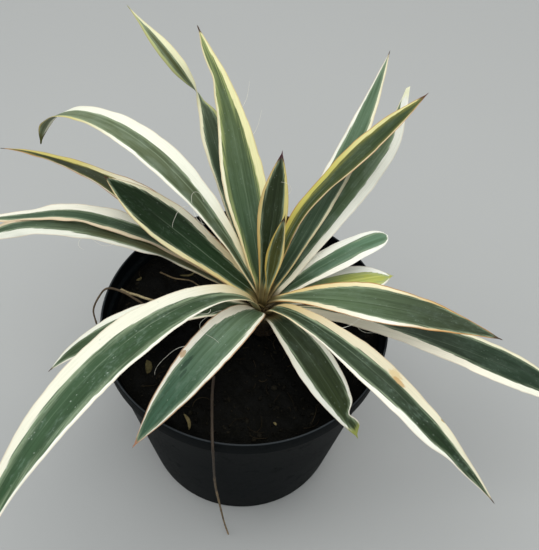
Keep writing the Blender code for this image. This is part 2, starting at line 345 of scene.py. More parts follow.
class Net:
    """Short forms for adding the nodes of one tree and joining them."""

    def __init__(self, tree: Tree) -> None:
        """Keeps the tree to work on."""
        self.tree = tree

    def feed(self, socket: Socket, value: Value) -> None:
        """Joins a socket to another, or sets its own value.

        Args:
            socket: The input socket.
            value: Another node's output, a number, a vector or a colour.
        """
        if isinstance(value, bpy.types.NodeSocket):
            self.tree.links.new(value, socket)
        elif socket.type == "RGBA" and len(value) == 3:
            socket.default_value = (*value, 1.0)
        else:
            socket.default_value = value

    def node(self, kind: str, inputs: dict | None = None, **settings: object) -> bpy.types.Node:
        """Adds a node.

        Args:
            kind: The node's type.
            inputs: Values of its input sockets, by name or number.
            settings: The node's own settings.

        Returns:
            The node.
        """
        made = self.tree.nodes.new(kind)
        for key, value in settings.items():
            setattr(made, key, value)
        for key, value in (inputs or {}).items():
            self.feed(made.inputs[key], value)
        return made

    def math(self, operation: str, first: Number, second: Number = 0.0, clamp: bool = False) -> Socket:
        """Adds one sum of two numbers and returns its output."""
        return self.node("ShaderNodeMath", {0: first, 1: second}, operation=operation, use_clamp=clamp).outputs[0]

    def plus(self, first: Number, second: Number) -> Socket:
        """Adds the second number to the first."""
        return self.math("ADD", first, second)

    def minus(self, first: Number, second: Number) -> Socket:
        """Takes the second number from the first."""
        return self.math("SUBTRACT", first, second)

    def times(self, first: Number, second: Number) -> Socket:
        """Multiplies the first number by the second."""
        return self.math("MULTIPLY", first, second)

    def over(self, first: Number, second: Number) -> Socket:
        """Divides the first number by the second."""
        return self.math("DIVIDE", first, second)

    def sway(self, pattern: Socket, amount: float) -> Socket:
        """Centres on 0 a pattern that runs from 0 to 1, and scales it."""
        return self.times(self.minus(pattern, 0.5), amount)

    def total(self, start: Number, *parts: tuple[Socket, float]) -> Socket:
        """Adds patterns to a number, each with its weight.

        Args:
            start: The number.
            parts: Each pattern and its weight.

        Returns:
            The sum.
        """
        for pattern, weight in parts:
            start = self.plus(start, self.times(pattern, weight))
        return start

    def step(self, value: Number, low: Number, high: Number, bottom: float = 0.0,
             top: float = 1.0) -> Socket:
        """Adds a smooth step from bottom to top while value goes from low to high, and returns its output."""
        inputs = {"Value": value, "From Min": low, "From Max": high, "To Min": bottom, "To Max": top}
        return self.node("ShaderNodeMapRange", inputs, interpolation_type="SMOOTHSTEP").outputs[0]

    def blend(self, share: Number, first: Socket | Color, second: Socket | Color, way: str = "MIX") -> Socket:
        """Adds a mix of two colours.

        Args:
            share: The second colour's share.
            first: The first colour.
            second: The second colour.
            way: How the second colour goes on the first.

        Returns:
            The mixed colour.
        """
        made = self.node("ShaderNodeMix", data_type="RGBA", blend_type=way)
        for number, value in ((MIX_SHARE, share), (MIX_FIRST, first), (MIX_SECOND, second)):
            self.feed(made.inputs[number], value)
        return made.outputs[MIX_RESULT]

    def tinted(self, color: Socket, factor: Color) -> Socket:
        """Multiplies a colour by another."""
        return self.blend(1.0, color, factor, "MULTIPLY")

    def split(self, vector: Socket) -> tuple[Socket, Socket, Socket]:
        """Splits a vector into its three numbers."""
        return tuple(self.node("ShaderNodeSeparateXYZ", {0: vector}).outputs)

    def join(self, x: Number, y: Number, z: Number) -> Socket:
        """Joins three numbers to a vector."""
        return self.node("ShaderNodeCombineXYZ", {0: x, 1: y, 2: z}).outputs[0]

    def noise(self, vector: Socket, scale: Number, detail: float = 3.0, rough: float = 0.55) -> Socket:
        """Adds a noise pattern and returns its value."""
        inputs = {"Vector": vector, "Scale": scale, "Detail": detail, "Roughness": rough}
        return self.node("ShaderNodeTexNoise", inputs).outputs[0]

    def attribute(self, name: str) -> bpy.types.Node:
        """Reads a named value of the piece's own points."""
        return self.node("ShaderNodeAttribute", attribute_name=name)

    def place(self) -> Socket:
        """Object coordinates."""
        return self.node("ShaderNodeTexCoord").outputs["Object"]

    def bump(self, height: Socket, strength: float, distance: float) -> Socket:
        """Adds a relief and returns its normals."""
        inputs = {"Height": height, "Strength": strength, "Distance": distance}
        return self.node("ShaderNodeBump", inputs).outputs["Normal"]

    def group(self, tree: Tree, values: dict[str, Value]) -> bpy.types.NodeOutputs:
        """Places a node group.

        Args:
            tree: The group.
            values: What its inputs get, by name.

        Returns:
            Its outputs.
        """
        return self.node("ShaderNodeGroup", values, node_tree=tree).outputs


def new_group(
    name: str, inputs: Sockets, outputs: Sockets
) -> tuple[Net, bpy.types.NodeOutputs, bpy.types.NodeInputs]:
    """Starts a shader node group.

    Args:
        name: The group's name.
        inputs: The names of its inputs, by kind.
        outputs: The names of its outputs, by kind.

    Returns:
        The group's net, what it is given and what it puts out.
    """
    tree = bpy.data.node_groups.new(name, "ShaderNodeTree")
    for direction, sockets in (("INPUT", inputs), ("OUTPUT", outputs)):
        for kind, keys in sockets.items():
            for key in keys:
                tree.interface.new_socket(key, in_out=direction, socket_type=kind.value)
    net = Net(tree)
    return net, net.node("NodeGroupInput").outputs, net.node("NodeGroupOutput").inputs


class Finish:
    """A material with one Principled shader, and the net that feeds it."""

    def __init__(self, name: str, specular: float) -> None:
        """Starts the material.

        Args:
            name: The material's name.
            specular: The shader's specular level.
        """
        self.material = bpy.data.materials.new(name)
        self.material.use_nodes = True
        self.shader = self.material.node_tree.nodes["Principled BSDF"]
        self.net = Net(self.material.node_tree)
        self.set("Specular IOR Level", specular)

    def set(self, key: str, value: Value) -> None:
        """Feeds one socket of the shader, or sets its value."""
        self.net.feed(self.shader.inputs[key], value)

    def feed(self, color: Socket, roughness: Socket, normal: Socket) -> Material:
        """Feeds the three sockets that vary over the surface.

        Args:
            color: The colour.
            roughness: The roughness.
            normal: The normals.

        Returns:
            The material.
        """
        self.set("Base Color", color)
        self.set("Roughness", roughness)
        self.set("Normal", normal)
        return self.material


class Effects:
    """The shared node groups: streaks along a blade, a pale margin, a stain, the whole blade, and dust."""

    def __init__(self) -> None:
        """Builds each group once."""
        self.streaks = self.build_streaks()
        self.margin = self.build_margin()
        self.stain = self.build_stain()
        self.blade = BladeLook(self).build()
        self.dust = self.build_dust()

    @staticmethod
    def build_streaks() -> Tree:
        """Noise drawn out along a blade: finer across it than along it.

        Returns:
            The group.
        """
        net, given, put = new_group(
            "blade_streaks", {Kind.VECTOR: ("Place",), Kind.NUMBER: ("Seed", "Across", "Along")},
            {Kind.NUMBER: ("Value",)})
        x, y, _ = net.split(given["Place"])
        spot = net.join(
            net.times(x, given["Across"]), net.times(y, given["Along"]), net.times(given["Seed"], SEED_STEP))
        net.feed(put["Value"], net.noise(spot, 1.0))
        return net.tree

    def build_margin(self) -> Tree:
        """A pale margin whose inner border wanders and runs out in long fibres.

        Returns:
            The group, which gives the margin's mask and the mask of the half-pale band inside it.
        """
        net, given, put = new_group(
            "pale_margin", {Kind.VECTOR: ("Place",), Kind.NUMBER: ("Distance", "Width", "Soft", "Seed")},
            {Kind.NUMBER: ("Mask", "Band")})
        place, seed, width = given["Place"], given["Seed"], given["Width"]
        fine = net.group(self.streaks, {"Place": place, "Seed": seed, "Across": 1.6, "Along": 0.035})["Value"]
        slow_seed = net.plus(seed, 4.3)
        slow = net.group(self.streaks, {"Place": place, "Seed": slow_seed, "Across": 0.12, "Along": 0.05})["Value"]
        shift = net.plus(net.sway(fine, 2.0), net.sway(slow, 0.9))
        wander = net.times(shift, net.step(width, 0.3, 3.5, 0.15, 1.0))
        depth = net.minus(net.plus(width, wander), given["Distance"])
        net.feed(put["Mask"], net.step(depth, -0.16, 0.26))
        near = net.step(depth, net.times(given["Soft"], -1.0), 0.0)
        net.feed(put["Band"], net.times(near, net.step(fine, 0.38, 0.56, 0.15, 1.0)))
        return net.tree

    def build_stain(self) -> Tree:
        """A ragged oval spot at a place on a blade.

        Returns:
            The group, which gives the spot's mask.
        """
        net, given, put = new_group(
            "blade_stain", {Kind.VECTOR: ("Place",), Kind.NUMBER: ("Across", "Along", "Wide", "Long", "Seed")},
            {Kind.NUMBER: ("Mask",)})
        x, y, _ = net.split(given["Place"])
        dx = net.over(net.minus(x, given["Across"]), given["Wide"])
        dy = net.over(net.minus(y, given["Along"]), given["Long"])
        away = net.math("SQRT", net.plus(net.times(dx, dx), net.times(dy, dy)))
        values = {"Place": given["Place"], "Seed": given["Seed"], "Across": 1.1, "Along": 0.5}
        ragged = net.plus(away, net.sway(net.group(self.streaks, values)["Value"], 1.3))
        net.feed(put["Mask"], net.step(ragged, 1.05, 0.75))
        return net.tree

    @staticmethod
    def build_dust() -> Tree:
        """Pale dust and dried splashes that lie in clouds.

        Returns:
            The group, which gives the colour and the dust's mask.
        """
        net, given, put = new_group(
            "settled_dust",
            {Kind.VECTOR: ("Place",), Kind.COLOR: ("Base", "Dust"), Kind.NUMBER: ("Amount", "Fineness")},
            {Kind.COLOR: ("Color",), Kind.NUMBER: ("Mask",)})
        cloud = net.noise(given["Place"], 26.0, 5.0, 0.6)
        grain = net.noise(given["Place"], given["Fineness"], 3.0, 0.5)
        mask = net.times(net.step(cloud, 0.42, 0.72), net.step(grain, 0.4, 0.7))
        mask = net.times(mask, given["Amount"])
        net.feed(put["Mask"], mask)
        net.feed(put["Color"], net.blend(mask, given["Base"], given["Dust"]))
        return net.tree


@dataclass(frozen=True)
class BladeTones:
    """The colours that all blades share. The first three are factors for colours of the blade's own."""

    dark_streak: Color = (0.7, 0.7, 0.52)
    light_streak: Color = (1.06, 1.0, 0.84)
    warm_margin: Color = (0.88, 0.75, 0.5)
    shaded_foot: Color = (0.022, 0.036, 0.01)
    pale_line: Color = (0.36, 0.46, 0.3)
    mottle: Color = (0.17, 0.25, 0.19)
    bloom: Color = (0.32, 0.42, 0.34)
    rib: Color = (0.33, 0.42, 0.29)
    underside: Color = (0.085, 0.095, 0.028)
    rust: Color = (0.4, 0.185, 0.05)
    heel_streak: Color = (0.16, 0.1, 0.03)
    heel: Color = (0.085, 0.06, 0.022)
    speck: Color = (0.42, 0.5, 0.42)


class BladeLook:
    """The node group of a variegated blade: streaked green between pale margins, stained at foot, tip and edge.

    Places, distances and reaches are in millimetres, and the share runs from 0 at the foot to 1 at the tip.
    """

    def __init__(self, effects: Effects, tones: BladeTones = BladeTones()) -> None:
        """Starts the group, and lays the patterns that its parts share.

        Args:
            effects: The node groups, with the streaks and the margin built.
            tones: The shared colours.
        """
        self.effects, self.tones = effects, tones
        self.net, self.given, self.put = new_group(
            "variegated_blade",
            {
                Kind.VECTOR: ("Place", "Edges", "Widths"),
                Kind.NUMBER: ("Seed", "Foot Reach", "Tip Reach", "Soft", "Rib", "Rust", "Specks", "Bloom", "Warmth"),
                Kind.COLOR: ("Left", "Right", "Left Outer", "Right Outer", "Inner", "Outer", "Foot", "Tip", "Half"),
            },
            {Kind.COLOR: ("Color",), Kind.NUMBER: ("Roughness", "Relief")})
        net, given = self.net, self.given
        self.across, self.along, self.side = net.split(given["Place"])
        self.left, self.right, self.tip = net.split(given["Edges"])
        self.left_width, self.right_width, self.share = net.split(given["Widths"])
        self.edge = net.math("MINIMUM", self.left, self.right)
        self.fine = self.streak(1.0, 2.6, 0.05)
        self.broad = self.streak(2.0, 0.55, 0.018)
        self.cloud = self.streak(3.0, 0.13, 0.06)
        self.bloom = net.times(net.step(self.cloud, 0.42, 0.68), given["Bloom"])

    def streak(self, offset: float, across: float, along: float) -> Socket:
        """Streaks with a seed of their own.

        Args:
            offset: What is added to the blade's seed.
            across: Streaks to a millimetre across the blade.
            along: Streaks to a millimetre along the blade.

        Returns:
            Their value.
        """
        seed = self.net.plus(self.given["Seed"], offset)
        values = {"Place": self.given["Place"], "Seed": seed, "Across": across, "Along": along}
        return self.net.group(self.effects.streaks, values)["Value"]

    def green(self) -> Socket:
        """The green: streaks, shade near the crown, pale lines, mottling, bloom, a rib and a dull underside.

        Returns:
            The colour.
        """
        net, given, tones = self.net, self.given, self.tones
        green = net.blend(net.step(self.share, 0.15, 0.8), given["Inner"], given["Outer"])
        dark, light = net.tinted(green, tones.dark_streak), net.tinted(green, tones.light_streak)
        green = net.blend(net.step(self.broad, 0.36, 0.64), dark, light)
        green = net.blend(net.times(net.step(self.along, 46.0, 6.0), 0.62), green, tones.shaded_foot)
        lines = net.times(net.step(self.fine, 0.54, 0.76), 0.12)
        green = net.blend(lines, green, net.blend(0.4, green, tones.pale_line))
        spots, clouds = net.step(self.streak(6.0, 0.8, 0.3), 0.48, 0.66), net.step(self.cloud, 0.4, 0.62)
        mottle = net.times(net.times(spots, clouds), net.times(given["Specks"], 0.32))
        green = net.blend(mottle, green, tones.mottle)
        green = net.blend(self.bloom, green, tones.bloom)
        off_rib = net.math("ABSOLUTE", net.plus(self.across, net.sway(self.cloud, 1.2)))
        rib = net.times(net.step(off_rib, 0.45, 0.05), net.step(self.share, 0.8, 0.4))
        rib = net.times(rib, net.step(self.fine, 0.36, 0.56, 0.25, 1.0))
        green = net.blend(net.times(rib, given["Rib"]), green, tones.rib)
        return net.blend(net.times(net.math("LESS_THAN", self.side, 0.0), 0.6), green, tones.underside)

    def margined(self, color: Socket) -> tuple[Socket, Socket]:
        """Lays the two pale margins on, warmer near the foot, with the half-pale band inside each.

        Args:
            color: The colour so far.

        Returns:
            The new colour, and the mask of both margins.
        """
        net, given, tones = self.net, self.given, self.tones
        margins = [
            net.group(self.effects.margin, {
                "Place": given["Place"], "Distance": distance, "Width": width, "Soft": given["Soft"],
                "Seed": net.plus(given["Seed"], offset)})
            for distance, width, offset in ((self.left, self.left_width, 0.0), (self.right, self.right_width, 7.7))
        ]
        bands = net.math("MAXIMUM", margins[0]["Band"], margins[1]["Band"])
        color = net.blend(net.times(bands, 0.75), color, given["Half"])
        tint = net.times(net.step(self.fine, 0.44, 0.68), 0.42)
        outward = net.step(self.share, 0.5, 0.74)
        near_foot = net.times(net.step(self.along, 74.0, 12.0), given["Warmth"])
        for margin, name in zip(margins, ("Left", "Right")):
            shade = net.blend(outward, given[name], given[name + " Outer"])
            shade = net.blend(near_foot, shade, net.tinted(shade, tones.warm_margin))
            streaked = net.blend(tint, shade, net.blend(0.4, shade, given["Half"]))
            color = net.blend(margin["Mask"], color, streaked)
        return color, net.math("MAXIMUM", margins[0]["Mask"], margins[1]["Mask"])

    def weathered(self, color: Socket) -> tuple[Socket, Socket]:
        """Rusts the very edge, tans the foot, browns the heel and burns the tip.

        Args:
            color: The colour so far.

        Returns:
            The new colour, and the mask of the burnt tip.
        """
        net, given, tones = self.net, self.given, self.tones
        rust = net.step(net.minus(self.edge, net.times(self.cloud, 0.9)), 0.42, -0.1)
        color = net.blend(net.times(rust, given["Rust"]), color, tones.rust)
        foot_far = net.plus(self.along, net.sway(self.fine, 16.0))
        foot = net.step(net.over(foot_far, given["Foot Reach"]), 1.0, 0.1)
        streaked = net.blend(0.6, given["Foot"], tones.heel_streak)
        tan = net.blend(net.step(self.fine, 0.4, 0.7), given["Foot"], streaked)
        color = net.blend(net.times(foot, 0.55), color, tan)
        color = net.blend(net.times(net.step(self.along, 7.0, 0.0), 0.8), color, tones.heel)
        tip_far = net.minus(net.plus(self.tip, net.times(self.edge, 1.2)), net.sway(self.fine, 9.0))
        burnt = net.step(net.over(tip_far, given["Tip Reach"]), 1.0, 0.45)
        return net.blend(burnt, color, given["Tip"]), burnt

    def specked(self, color: Socket) -> tuple[Socket, Socket]:
        """Strews pale specks: some cells of a pattern hold a ragged spot, and more of them in clouds.

        Args:
            color: The colour so far.

        Returns:
            The new colour, and the specks' mask.
        """
        net, given, tones = self.net, self.given, self.tones
        spot = net.join(net.times(self.across, 0.75), net.times(self.along, 0.55), given["Seed"])
        cells = net.node("ShaderNodeTexVoronoi", {"Vector": spot, "Scale": 1.0}).outputs
        pick, size, _ = net.split(cells["Color"])
        ragged = net.plus(cells["Distance"], net.sway(self.streak(5.0, 2.2, 1.2), 0.7))
        speck = net.step(ragged, net.times(size, 0.36), net.times(size, 0.12))
        bare = net.minus(net.step(self.cloud, 0.44, 0.62, 0.95, 0.72),
                           net.step(self.share, 0.25, 0.85, 0.0, 0.14))
        speck = net.times(speck, net.math("GREATER_THAN", pick, bare))
        return net.blend(net.times(speck, net.times(given["Specks"], 0.6)), color, tones.speck), speck

    def build(self) -> Tree:
        """Joins the steps, and feeds the group's outputs.

        Returns:
            The group, which gives the blade's colour, roughness and relief.
        """
        net, put = self.net, self.put
        color, pale = self.margined(self.green())
        color, burnt = self.weathered(color)
        color, speck = self.specked(color)
        rough = net.total(0.44, (self.fine, 0.14), (self.bloom, 0.25), (burnt, 0.15), (pale, 0.06))
        relief = net.total(
            net.times(self.fine, 0.55), (self.broad, 0.35), (pale, 0.12), (speck, 0.3), (self.cloud, 0.5))
        net.feed(put["Color"], color)
        net.feed(put["Roughness"], rough)
        net.feed(put["Relief"], relief)
        return net.tree


# Leaves


class BladeEnd(Enum):
    """How a blade ends: in a spine, rounded off, or broken straight across."""

    POINTED = "pointed"
    ROUNDED = "rounded"
    BROKEN = "broken"


@dataclass(frozen=True)
class Kink:
    """A place along a leaf where it turns, tilts down or twists over a short span of its length."""

    place: float
    span: float
    turn: float = 0.0
    tilt: float = 0.0
    twist: float = 0.0


@dataclass(frozen=True)
class Bulge:
    """A place along a leaf where a margin stands out or is pinched, in metres."""

    place: float
    span: float
    left: float = 0.0
    right: float = 0.0


@dataclass(frozen=True)
class Stain:
    """A scar or blemish on a blade: its place and size in millimetres, and its colour."""

    along: float
    across: float
    long: float
    wide: float
    color: Color = (0.3, 0.17, 0.06)
    strength: float = 0.8


SNOW: Color = (0.97, 0.98, 0.9)
WHITE: Color = (0.89, 0.9, 0.79)
CREAM: Color = (0.87, 0.84, 0.61)
BEIGE: Color = (0.7, 0.64, 0.46)
TEAL: Color = (0.105, 0.185, 0.125)
NIGHT: Color = (0.024, 0.04, 0.018)
LIME: Color = (0.46, 0.5, 0.22)
BROWN: Color = (0.06, 0.035, 0.018)
FOOT_TAN: Color = (0.36, 0.29, 0.11)


@dataclass(frozen=True)
class BladeFinish:
    """How one blade is marked. Margin widths, in millimetres, stand at even steps from its foot to its tip."""

    left: tuple[float, ...] = (1.2, 2.0, 1.2)
    right: tuple[float, ...] = (1.2, 2.0, 1.2)
    left_color: Color = WHITE
    right_color: Color = WHITE
    left_outer: Color | None = None
    right_outer: Color | None = None
    inner: Color = TEAL
    outer: Color = TEAL
    foot: Color = FOOT_TAN
    foot_reach: float = 9.0
    tip: Color = BROWN
    tip_reach: float = 7.0
    half: Color = (0.3, 0.38, 0.24)
    soft: float = 2.0
    rib: float = 0.2
    rust: float = 0.25
    specks: float = 0.3
    bloom: float = 0.04
    warmth: float = 1.0
    stains: tuple[Stain, ...] = ()
    specular: float = 0.22
    relief: float = 0.55
    relief_height: float = 0.00035

    def material(self, name: str, effects: Effects, seed: int) -> Material:
        """Makes the blade's material.

        Args:
            name: The material's name.
            effects: The shared node groups.
            seed: Sets this blade's streaks apart from the others'.

        Returns:
            The material.
        """
        finish = Finish(name, self.specular)
        net = finish.net
        place = net.attribute("blade_place").outputs["Vector"]
        look = net.group(effects.blade, {
            "Place": place,
            "Edges": net.attribute("blade_edges").outputs["Vector"],
            "Widths": net.attribute("blade_widths").outputs["Vector"],
            "Seed": float(seed),
            "Left": self.left_color, "Left Outer": self.left_outer or self.left_color,
            "Right": self.right_color, "Right Outer": self.right_outer or self.right_color,
            "Inner": self.inner, "Outer": self.outer, "Half": self.half, "Soft": self.soft,
            "Foot": self.foot, "Foot Reach": self.foot_reach, "Tip": self.tip, "Tip Reach": self.tip_reach,
            "Rib": self.rib, "Rust": self.rust, "Specks": self.specks, "Bloom": self.bloom, "Warmth": self.warmth})
        color = look["Color"]
        for number, stain in enumerate(self.stains):
            mask = net.group(effects.stain, {
                "Place": place, "Across": stain.across, "Along": stain.along, "Wide": stain.wide,
                "Long": stain.long, "Seed": float(seed + number)})["Mask"]
            color = net.blend(net.times(mask, stain.strength), color, stain.color)
        normal = net.bump(look["Relief"], self.relief, self.relief_height)
        return finish.feed(color, look["Roughness"], normal)


@dataclass(frozen=True)
class Leaf:
    """One sword leaf. Shares run from 0 at the foot to 1 at the tip, and angles are in degrees."""

    name: str
    tier: float
    heading: float
    rise: float
    length: float
    width: float
    sweep: float = 0.0
    droop: float = 0.0
    late: float = 1.0
    roll: Pair = (0.0, 0.0)
    neck: float = 0.62
    peak: float = 0.5
    taper: float = 1.7
    fold: Pair = (25.0, 6.0)
    kinks: tuple[Kink, ...] = ()
    end: float = 1.0
    foot: float | None = None
    ending: BladeEnd = BladeEnd.POINTED
    bulges: tuple[Bulge, ...] = ()
    wave: Triple = (0.25, 0.25, 38.0)
    finish: BladeFinish = field(default_factory=BladeFinish)


